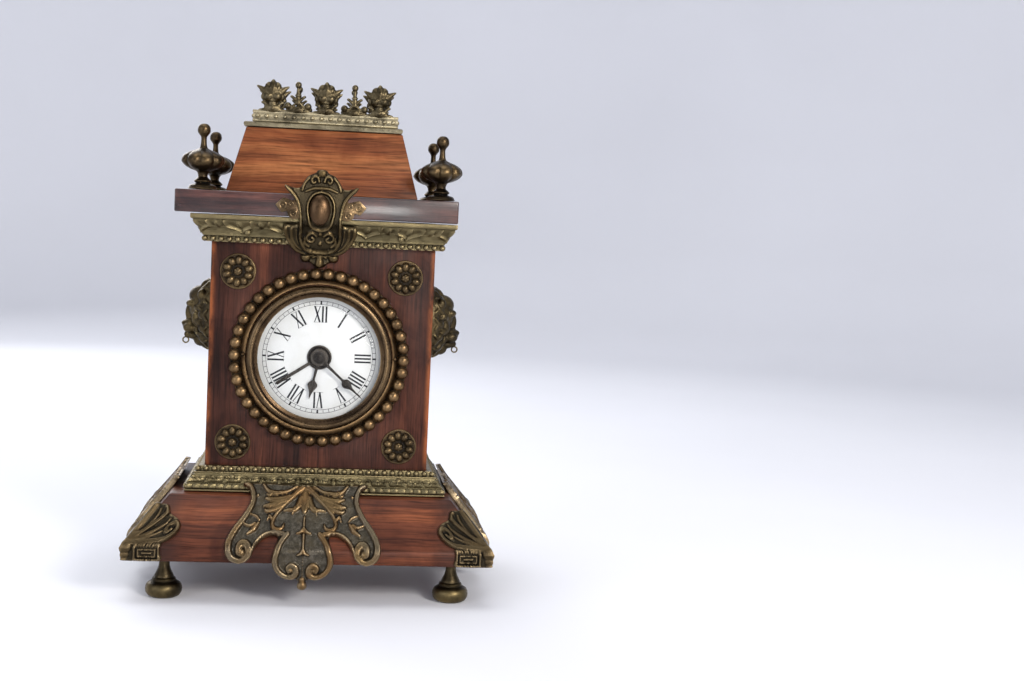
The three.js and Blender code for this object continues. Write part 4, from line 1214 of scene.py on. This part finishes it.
def makeLion(look):
    part = bmesh.new()
    for (x, y, z), size in look["masses"]:
        for side in (1, -1) if y else (1,):
            roundBead(part, (x, side * y, z), 1, size, 3)
    for row, (near, far, start) in enumerate(look["rows"]):
        locks = look["locks"] - 6 * row
        for i in range(locks):
            turn = 2 * math.pi * (i + 0.5 * row) / locks
            bend = 0.16 * (1 if i % 2 else -1)
            points = []
            for k in range(4):
                reach = near + (far - near) * k / 3
                angle = turn + bend * math.sin(k * 1.1)
                depth = start * (1 - reach ** 2 * 0.75) + (0.9 if k in (1, 2) else 0)
                points.append((max(0.8, depth), look["halfY"] * reach * math.sin(angle),
                               look["halfZ"] * reach * math.cos(angle) - 0.2))
            lumpRun(part, points, [1.5, 1.9, 1.6, 0.8])
    mask = fuse(part, 0.42, 1)
    bmesh.ops.bisect_plane(mask, geom=mask.verts[:] + mask.edges[:] + mask.faces[:], plane_co=(0.35, 0, 0),
                           plane_no=(-1, 0, 0), clear_outer=True)
    bmesh.ops.holes_fill(mask, edges=[edge for edge in mask.edges if edge.is_boundary])
    x, z, radius, wire = look["ring"]
    hoop = [(radius + wire * math.cos(a * math.pi / 5), wire * math.sin(a * math.pi / 5)) for a in range(10)]
    turned(hoop, (x, 0, z), "y", 28, True, mask)
    for node, sign in (("lion_mask_left", -1), ("lion_mask_right", 1)):
        low, high = boxOf(node)
        anchor = Vector((high.x if sign < 0 else low.x, (low.y + high.y) / 2, (low.z + high.z) / 2))
        anchor.x -= sign * 0.3
        face = placedCopy(mask, Matrix.Translation(anchor) @ Matrix.Diagonal((sign, 1, 1, 1)))
        finishPiece(node + "_face", face, darkBrass, "case", [node], "cast_brass", 60)
    mask.free()


makeLion(lionLook)
print("lions made")


# pendants over the plinth's shoulders
pendantLook = {
    "half": [(0, 58.6), (32, 59.6), (29.3, 56.6), (28.2, 53), (28.5, 49.5), (31.9, 43.8), (36.3, 38.3),
             (39.3, 33),
             (39.9, 28.6), (38.3, 24.6), (35.6, 22.6), (32, 21.9), (28.6, 23.2), (26.3, 25.6), (24.9, 29),
             (22.6, 32.3), (19.2, 34.7), (15.5, 35.6), (13, 34.6), (14.3, 30.6), (15.8, 26), (15.6, 21.6),
             (13.6, 17.6), (10.4, 15.1), (6.4, 14), (3.6, 14.4), (2.1, 13.4), (2.6, 11), (1.9, 9.3),
             (0, 8.7)],
    "strokes": [
        ([(31, 59), (28.4, 56.6), (26.9, 53), (27.4, 49), (30.6, 43.4), (34.9, 37.8), (37.7, 32.6),
          (38.1, 28.8),
          (36.8, 25.7), (34.6, 24), (32.1, 23.4), (29.5, 24.3), (27.8, 26.6), (27.6, 29), (28.9, 31.1),
          (31, 31.4), (32.6, 29.9), (32.6, 27.8), (31, 26.8)], [1.7, 1.8, 2.0, 2.1, 2.1, 1.9, 1.4], 1.8, 0.2),
        ([(31, 27.6)], [1.8], 1.7),
        ([(25.8, 27.8), (24.8, 30), (22.3, 33.2), (18.8, 35.4), (14.8, 36.2), (10.4, 36)],
         [1.2, 1.4, 1.5, 1.4, 1.2], 1.6, 0.2),
        ([(8.2, 36), (10.8, 33), (13, 29), (14.1, 25), (13.7, 21), (11.8, 17.9), (9, 15.9), (6.3, 15.5),
          (3.9, 16.7), (3.1, 18.9), (3.9, 21), (5.9, 21.8), (7.5, 20.4), (6.9, 18.5)],
         [1.3, 1.6, 1.7, 1.8, 1.8, 1.5, 1.1], 1.6, 0.2),
        ([(6, 19)], [1.5], 1.4),
        ([(0, 11.2)], [2.6], 1.9), ([(0, 14.4)], [1.5], 1.1),
        ([(0, 35.5), (0, 31), (0, 28)], [0.9, 0.8, 0.6], 1.5), ([(0, 28), (0, 15.8)], [0.4, 0.35], 0.6),
        ([(0, 29.4), (1.1, 27.9), (2.9, 27.2)], [0.9, 0.9, 0.5], 1.5),
        ([(0, 43.6), (0, 38)], [0.7, 0.8], 1.3), ([(0, 38.6), (1.4, 37), (3.6, 36.3)], [0.9, 0.9, 0.4], 1.5),
        ([(0, 37.6)], [1.3], 1.5),
        ([(0, 54.4), (0, 51), (0, 47.6), (0, 45.6)], [2.2, 3.3, 2.0, 0.7], 1.7), ([(0, 56)], [1.1], 1.5),
        ([(2.2, 52), (3.5, 48.6), (5.4, 46.9), (7.9, 46.9), (10.8, 46.5)], [1.6, 1.7, 1.3, 0.9, 0.4], 1.5),
        ([(5.4, 47.6), (6.2, 45.2)], [0.9, 0.5], 1.4),
        ([(1.2, 57.6), (5.4, 54), (10.4, 49.4), (14.3, 45), (16.2, 41.2), (15.6, 38.6), (13.1, 37.9),
          (10.9, 38.8),
          (10.4, 40.6)], [1.8, 1.6, 1.2, 1.0, 1.1, 1.2, 1.1, 0.8, 0.5], 1.6),
        ([(16.6, 42.5), (18, 43.8), (18.9, 42)], [0.9, 0.9, 0.5], 1.4),
        ([(21.9, 58.4), (19.6, 55.8), (16.6, 54.6), (13.4, 54.6), (9, 55.4), (4.2, 58)],
         [0.7, 1.1, 1.4, 1.3, 1.0, 0.8], 1.5),
        ([(16.9, 55), (18.4, 53.4), (19.9, 53.8)], [1.2, 0.9, 0.5], 1.4),
        ([(8, 53), (12.4, 51.6), (17, 51.4), (20.4, 51.9)], [1.2, 1.7, 1.5, 0.6], 1.7),
        ([(9.4, 51.2), (14, 49.6), (18.4, 48.6), (21.2, 48.2)], [1.3, 1.8, 1.4, 0.6], 1.8),
        ([(11.4, 48.9), (15, 47), (19.2, 46), (20.6, 46.8)], [1.2, 1.3, 1.0, 0.5], 1.6),
        ([(24.4, 53.2)], [0.9], 1.1), ([(23.2, 40.8), (25.4, 38), (28.8, 35.6)], [0.6, 1.4, 0.6], 1.6),
        ([(25, 40.4), (27.6, 39.3), (30.2, 40), (31.2, 41)], [0.8, 0.8, 0.7, 0.4], 1.4),
        ([(27.4, 44.6), (24.6, 43.6), (23, 42)], [0.5, 0.8, 0.6], 1.1),
    ],
    "back": [(-69.8, 8), (-69.8, 29.45), (-50.3, 54), (-46.6, 59.4), (-46.3, 61)],
}


def makePendants(look):
    low, high = boxOf("front_pendant")
    centreX = (low.x + high.x) / 2
    plinthLow, plinthHigh = boxOf("plinth")
    middle = (plinthLow + plinthHigh) / 2
    halfX, halfY = (plinthHigh.x - plinthLow.x) / 2, (plinthHigh.y - plinthLow.y) / 2
    sheet = reliefSheet(look["half"], look["strokes"], foldPath(look["back"]), 0.42, 1.2, 0.7, 2)
    for node in ("front_pendant", "side_pendant_left", "side_pendant_right"):
        if node == "front_pendant":
            place = Matrix.Translation((centreX, middle.y, 0))
        else:
            sign = 1 if node.endswith("right") else -1
            shift = Matrix.Translation((middle.x + sign * (halfX - halfY), middle.y, 0))
            place = shift @ Matrix.Rotation(sign * math.pi / 2, 4, "Z")
        finishPiece(node + "_casting", placedCopy(sheet, place), reliefBrass, "case", [node], "cast_brass",
                    60)
    sheet.free()


makePendants(pendantLook)
print("pendants made")

# mounts on the plinth's corners, unfolded: x runs from the corner edge round the face
mountLook = {
    "half": [(0, 48.6), (1.8, 48.6), (4.6, 48.3), (6.9, 46.6), (9.4, 44.2), (12.6, 43), (15.6, 41.6),
             (18.6, 39.6),
             (20.3, 36.6), (19.8, 33.8), (18.2, 31.9), (16.2, 31), (17.4, 30.4), (17.5, 26), (17.5, 22.3),
             (0, 22.3)],
    "strokes": [
        ([(0.3, 30.6), (6, 31.2), (12, 31.6), (16.6, 32.6), (18.9, 35.3), (18.6, 38.4), (16.2, 40.1),
          (13.9, 38.9),
          (13.8, 36.6), (15.4, 35.6), (16.4, 36.8)], [1.2, 1.3, 1.4, 1.4, 1.3, 1.2, 1.0, 0.8], 1.5, 0.4),
        ([(0.5, 33), (3.4, 36.2), (6.2, 40.4), (7.4, 43.8), (6.4, 46.6), (4.4, 47.4)],
         [1.3, 1.3, 1.3, 1.2, 0.8], 1.5,
         0.4),
        ([(0.8, 32), (4.8, 33.8), (8.6, 36.2), (11.4, 39.2), (11.6, 41.6)], [1.0, 1.3, 1.3, 1.0, 0.6], 1.3),
        ([(1, 31.6), (6, 32.8), (10.6, 34.6), (13, 36.6)], [0.8, 1.0, 0.8, 0.5], 1.1),
        ([(1.6, 35.2), (3.6, 39.2), (4, 43), (2.9, 46)], [0.8, 1.0, 1.0, 0.6], 1.1),
        ([(0, 31), (0, 36), (0, 42), (0, 48)], [1.2, 1.2, 1.1, 0.9], 1.4),
        ([(0, 29.6)], [3.4], 1.9), ([(0, 25.6)], [2.2], 1.3), ([(0, 22.9)], [1.6], 1.1),
        *(([start, end], [0.7, 0.7], 1.0, 1) for start, end in (
            ((4.8, 29.9), (17, 29.9)), ((4.8, 22.9), (17, 22.9)), ((16.9, 22.9), (16.9, 29.9)),
            ((4.6, 22.9), (4.6, 29.9)))),
        *(([start, end], [0.5, 0.5], 0.8, 1) for start, end in (
            ((6.6, 24.6), (15, 24.6)), ((6.6, 28.2), (15, 28.2)), ((6.6, 24.6), (6.6, 28.2)),
            ((15, 24.6), (15, 28.2)))),
        ([(8.6, 26.4), (13, 26.4)], [0.55, 0.55], 0.8, 1),
    ],
    "shoulder": 29.3, "inset": 19.5 / 24.4, "rearInset": 0.4, "under": 0.3, "rise": 0.88,
}


def makeMounts(look):
    low, high = boxOf("plinth")
    shoulder, inset = look["shoulder"], look["inset"]

    def wrap(a, z, height):
        # around the corner edge: the front face for a above 0, the side face below it
        rise = max(0.0, z - shoulder)
        back = rise * inset
        frontOut = Vector((0, -1, inset if z > shoulder else 0)).normalized()
        sideOut = Vector((-1, 0, inset if z > shoulder else 0)).normalized()
        mitre = (frontOut + sideOut) / (1 + frontOut.dot(sideOut))
        along = abs(a) + back
        spot = Vector((along, back, z)) if a >= 0 else Vector((back, along, z))
        face = frontOut if a >= 0 else sideOut
        near = max(0.0, 1 - abs(a) / 2.5) ** 2
        return spot + face.lerp(mitre, near) * (look["under"] + height * look["rise"])

    sheet = reliefSheet(look["half"], look["strokes"], wrap, 0.42, 0.8, 0.6, 2)
    for place, sign in (("front_left", (1, 1)), ("front_right", (-1, 1)), ("back_left", (1, -1)),
                        ("back_right", (-1, -1))):
        node = "corner_mount_" + place
        corner = Vector((low.x if sign[0] > 0 else high.x,
                         low.y if sign[1] > 0 else high.y - look["rearInset"], 0))
        casting = placedCopy(sheet, Matrix.Translation(corner) @ Matrix.Diagonal((*sign, 1, 1)))
        finishPiece(node + "_casting", casting, mountBrass, "case", [node], "cast_brass", 60)
    sheet.free()


makeMounts(mountLook)
print("corner mounts made")

# the cartouche over the dial
cartoucheLook = {
    "half": [(0, 224.4), (2.4, 224), (3.4, 222.6), (6.4, 221.4), (8.6, 219.2), (10, 216.6), (11.4, 214.8),
             (14.2, 214.6), (18.8, 216), (18, 213.6), (15.6, 211.2), (13.4, 208.2), (12.2, 204.8),
             (11.4, 201),
             (11.1, 197), (13.4, 195.6), (18.4, 195.6), (19.2, 193.4), (18.7, 190.6), (17.2, 187.4),
             (15, 184.4),
             (12, 181.6), (9.8, 180.8), (10.2, 178.4), (8.6, 176.2), (5.6, 176.2), (3.8, 175.4), (2.4, 173.8),
             (0, 173.2)],
    "strokes": [
        ([(0, 222.6)], [2.2], 1.2),
        ([(1.4, 218.2), (2.2, 220.4), (4.2, 220.6), (5.2, 218.8), (4.2, 217.4), (3.2, 218.2)],
         [0.9, 1.0, 0.9, 0.7], 1.8),
        ([(6.6, 219.8), (8.8, 217.2), (9.9, 213.6)], [0.8, 0.9, 0.8], 1.2),
        ([(0, 214.8), (4, 214.6), (8, 213)], [1.0, 0.9, 0.6], 0.9),
        ([(17.9, 214.8), (14.9, 212), (12.4, 208.6), (11.1, 204.6), (10.4, 200), (10.1, 195), (10.3, 191),
          (9.6, 187.4), (7.6, 184.6), (4.4, 183.2), (0, 183)], [1.0, 1.1, 1.0, 0.9, 0.9, 0.9, 0.9, 0.8, 0.7],
          2.2, 0.4),
        ([(0, 212.9), (3.8, 211.6), (6.3, 208), (6.9, 203.6), (6.1, 199), (3.8, 195.6), (0, 194.2)],
         [0.8] * 4, 1.5),
        ([(2, 191.6), (4.2, 193), (6.6, 191.6), (6.6, 189), (4.4, 188), (3.2, 189.6), (4.3, 190.7)],
         [0.8, 0.9, 0.9, 0.8, 0.7], 1.6),
        ([(7.8, 190), (8, 187.2), (5.8, 185.6)], [0.9, 1.1, 0.7], 1.2), ([(0, 192.4)], [1.2], 1.3),
        ([(0, 187)], [1.1], 1.0),
        ([(17.9, 194.6), (17.6, 191), (15.6, 187), (12.6, 183.6), (8, 181.4)], [0.9, 1.1, 1.1, 0.9, 0.7],
         0.9),
        ([(14.9, 194.4), (14.8, 190), (12.8, 186), (9.6, 183.6)], [0.8, 1.0, 0.8, 0.5], 0.7),
        ([(12.4, 194), (12.2, 189.6), (11.2, 186.4)], [0.6, 0.7, 0.5], 0.5),
        ([(0, 181.6), (1.6, 180), (3.4, 178.8)], [1.2, 1.0, 0.7], 1.4), ([(7.2, 178.9)], [2.6], 1.9),
        ([(3.9, 180.4), (7, 180.2)], [1.4, 1.4], 1.3), ([(0, 179.4)], [1.9], 1.6),
        ([(0, 178), (0, 175.6), (0, 174.4)], [1.7, 2.3, 1.4], 1.8),
    ],
    "back": [(-50.1, 226), (-50.1, 198), (-47.2, 195.6), (-42.6, 190.2), (-40.4, 186), (-38.6, 183.6),
             (-36.1, 181),
             (-36.0, 172)],
    "wing": [(9, 208.4), (12.4, 209.2), (14.6, 208), (16.4, 208.6), (19.6, 209.4), (23.5, 205.6),
             (20.2, 201.6),
             (17.4, 202.4), (16.6, 199.8), (14.2, 198.2), (11.4, 198.8), (9, 200)],
    "holes": ((19.6, 205.5, 1.7, 0.55), (14.1, 201.3, 1.6, 0.5), (15.2, 206.2, 0.9, 0.4)),
    "stoneHalf": 5.6, "aside": 0.5, "wingBack": -49.5, "wingThick": 1.1,
}


def makeCartouche(look):
    centreX = boxOf("cabochon")[0].x + look["stoneHalf"] + look["aside"]
    back = foldPath(look["back"])

    def place(x, z, height):
        # the upper ears curl forward
        curl = max(0.0, min(1.0, (abs(x) - 10.5) / 8)) * (1 if z > 206 else 0)
        spot = back(x, z, height * (1 - 0.3 * curl))
        return spot + Vector((0, -2.6 * curl ** 1.4, 0))

    sheet = reliefSheet(look["half"], look["strokes"], place, 0.36, 1.5, 0.8, 3)
    bmesh.ops.translate(sheet, vec=(centreX, 0.75, 0), verts=sheet.verts)
    finishPiece("cartouche_casting", sheet, darkRelief, "case", ["cartouche"], "cast_brass", 60)
    wings = bmesh.new()
    for side in (-1, 1):
        edge = [(side * x + centreX, z) for x, z in look["wing"]]
        takeIn(wings, outlinePlate(edge if side > 0 else edge[::-1], look["wingBack"], look["wingThick"],
                                   0.35))
        for x, z, radius, wire in look["holes"]:
            hoop = [(radius + wire * math.cos(a * math.pi / 4), -50.6 + wire * math.sin(a * math.pi / 4))
                    for a in range(8)]
            turned(hoop, (centreX + side * x, 0, z), "y", 20, True, wings)
            roundBead(wings, (centreX + side * x, -50.5, z), radius * 0.45)
    finishPiece("cartouche_wings", wings, bezelBrass, "case", (), "cast_brass")
    low, high = boxOf("cabochon")
    spot = (low + high) / 2
    stone = bmesh.new()
    roundBead(stone, (spot.x, high.y + 0.6, spot.z), 1, (5.5, 3.2, 8), 5)
    finishPiece("cabochon_oval", stone, cabochonBrass, "case", ["cabochon"], "pale_brass", 60)


makeCartouche(cartoucheLook)
print("cartouche made")

# the back door with its turned pull
doorLook = {"bevel": 0.7, "pullReach": 9, "pullIn": 9, "pullUp": 14, "pull": [
    (0, 0), (4.6, 0), (4.8, 0.5), (4.5, 1), (2.3, 1.4), (1.7, 2.6), (1.9, 3.8), (3.4, 4.6), (4.1, 5.9),
    (3.8, 7.4), (2.4, 8.6), (0, 9)]}


def makeDoor(look):
    low, high = boxOf("back_door")
    face = high.y - look["pullReach"]
    spot = (low.x + look["pullIn"], 0, (low.z + high.z) / 2 + look["pullUp"])
    high = Vector((high.x, face, high.z))
    board = bmesh.new()
    fill = Matrix.Translation((low + high) / 2) @ Matrix.Diagonal((*(high - low), 1))
    bmesh.ops.create_cube(board, size=1, matrix=fill)
    roundEdges(board, board.edges[:], look["bevel"], 3)
    finishPiece("back_door_board", board, bodyWood, "door", ["back_door"], "stained_wood")
    pull = turned([(r, face - 0.05 + y) for r, y in look["pull"]], spot, "y", 48)
    finishPiece("back_door_pull", pull, gearBrass, "door", (), "gear_brass")


makeDoor(doorLook)
for node, part, body in (("door_hinge_lower", "_leaf", "case"), ("door_hinge_upper", "_leaf", "case"),
                         ("turn_button", "_latch", "door_button")):
    finishPiece(node + part, softened(node, 0.2, 2), gearBrass, body, [node], "gear_brass")
print("door made")


# the works keep their own shapes
worksFinish = {
    "front_plate": gearBrass, "back_plate": gearBrass, "time_barrel": gearBrass, "alarm_barrel": gearBrass,
    "centre_wheel": gearBrass, "third_wheel": gearBrass, "escape_wheel": gearBrass,
    "balance_wheel": gearBrass,
    "time_key": plainSteel, "alarm_key": plainSteel, "alarm_stop_lever": plainSteel,
    "alarm_hammer": plainSteel,
    "hand_set_knob": gearBrass, "alarm_set_knob": gearBrass, "alarm_bell": gearBrass,
}
slotFinish = {
    "stained_wood": bodyWood, "dark_wood": slabWood, "roof_wood": roofWood, "cast_brass": castBrass,
    "pale_brass": paleBrass, "bezel_brass": bezelBrass, "gear_brass": gearBrass, "steel": plainSteel,
    "black_steel": blackSteel, "enamel": dialWhite, "clear_glass": clearGlass,
}
for node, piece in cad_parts.items():
    finish = worksFinish.get(node)
    for place in piece.material_slots:
        place.material = finish or slotFinish.get(place.material.name if place.material else "", castBrass)
print("works finished")


# a pale floor and soft lights
stageLook = {
    "bowl": [(0, 0), (1.5, 0), (1.75, 0.04), (1.95, 0.16), (2.08, 0.36), (2.12, 0.7), (2.14, 2.4)],
    "floor": (220, 221, 226), "world": (222, 226, 234), "worldLight": 0.55,
    "lights": {
        "key": ((0.62, -1.05, 0.62), 0.3, 12, (255, 250, 244)),
        "fill": ((-0.95, -0.95, 0.5), 0.8, 5, (240, 244, 255)),
        "top": ((-0.1, -0.1, 1.3), 0.9, 7, (255, 255, 255)),
        "rear": ((-0.6, 1.1, 0.8), 0.8, 9, (255, 255, 255)),
        "glint": ((0.19, -1.2, 0.19), 0.22, 3.0, (255, 252, 248)),
        "wall": ((0, 0.4, 1.5), 1.2, 6, (250, 250, 255), (0, 2.1, 0.5)),
    },
}


def setStage(look):
    ground = turned(look["bowl"], (0, 0, 0), "z", 96)
    bmesh.ops.recalc_face_normals(ground, faces=ground.faces)
    bmesh.ops.reverse_faces(ground, faces=ground.faces)
    for face in ground.faces:
        face.smooth = True
    mesh = bpy.data.meshes.new("floor")
    ground.to_mesh(mesh)
    ground.free()
    desk = NodeDesk("floor paper", Specular_IOR_Level=0.2)
    cloud = desk.noise(desk.coords, 3, 4, 0.5)
    tone = paint(*look["floor"])
    color = desk.ramp(cloud, (0.2, tone), (0.8, tuple(min(1, value * 1.05) for value in tone)))
    fibre = desk.noise(desk.coords, 420, 3, 0.6)
    rough = desk.spread(fibre, 0.3, 0.7, 0.75, 0.9)
    mesh.materials.append(desk.close(color, rough, desk.bump(fibre, 0.05, 0.0003)))
    addThing("floor", mesh)
    for name, (spot, size, power, tint, *target) in look["lights"].items():
        data = bpy.data.lights.new(name, "AREA")
        data.energy, data.size, data.color = power, size, paint(*tint)[:3]
        lamp = addThing(name, data)
        lamp.location = spot
        aim = Vector(target[0] if target else (0, 0, 0.13)) - Vector(spot)
        lamp.rotation_euler = aim.to_track_quat("-Z", "Y").to_euler()
    world = bpy.data.worlds.new("studio")
    world.use_nodes = True
    sky = world.node_tree.nodes["Background"]
    sky.inputs["Color"].default_value = paint(*look["world"])
    sky.inputs["Strength"].default_value = look["worldLight"]
    bpy.context.scene.world = world
    bpy.context.scene.view_settings.view_transform = "Standard"


setStage(stageLook)
print("stage set")
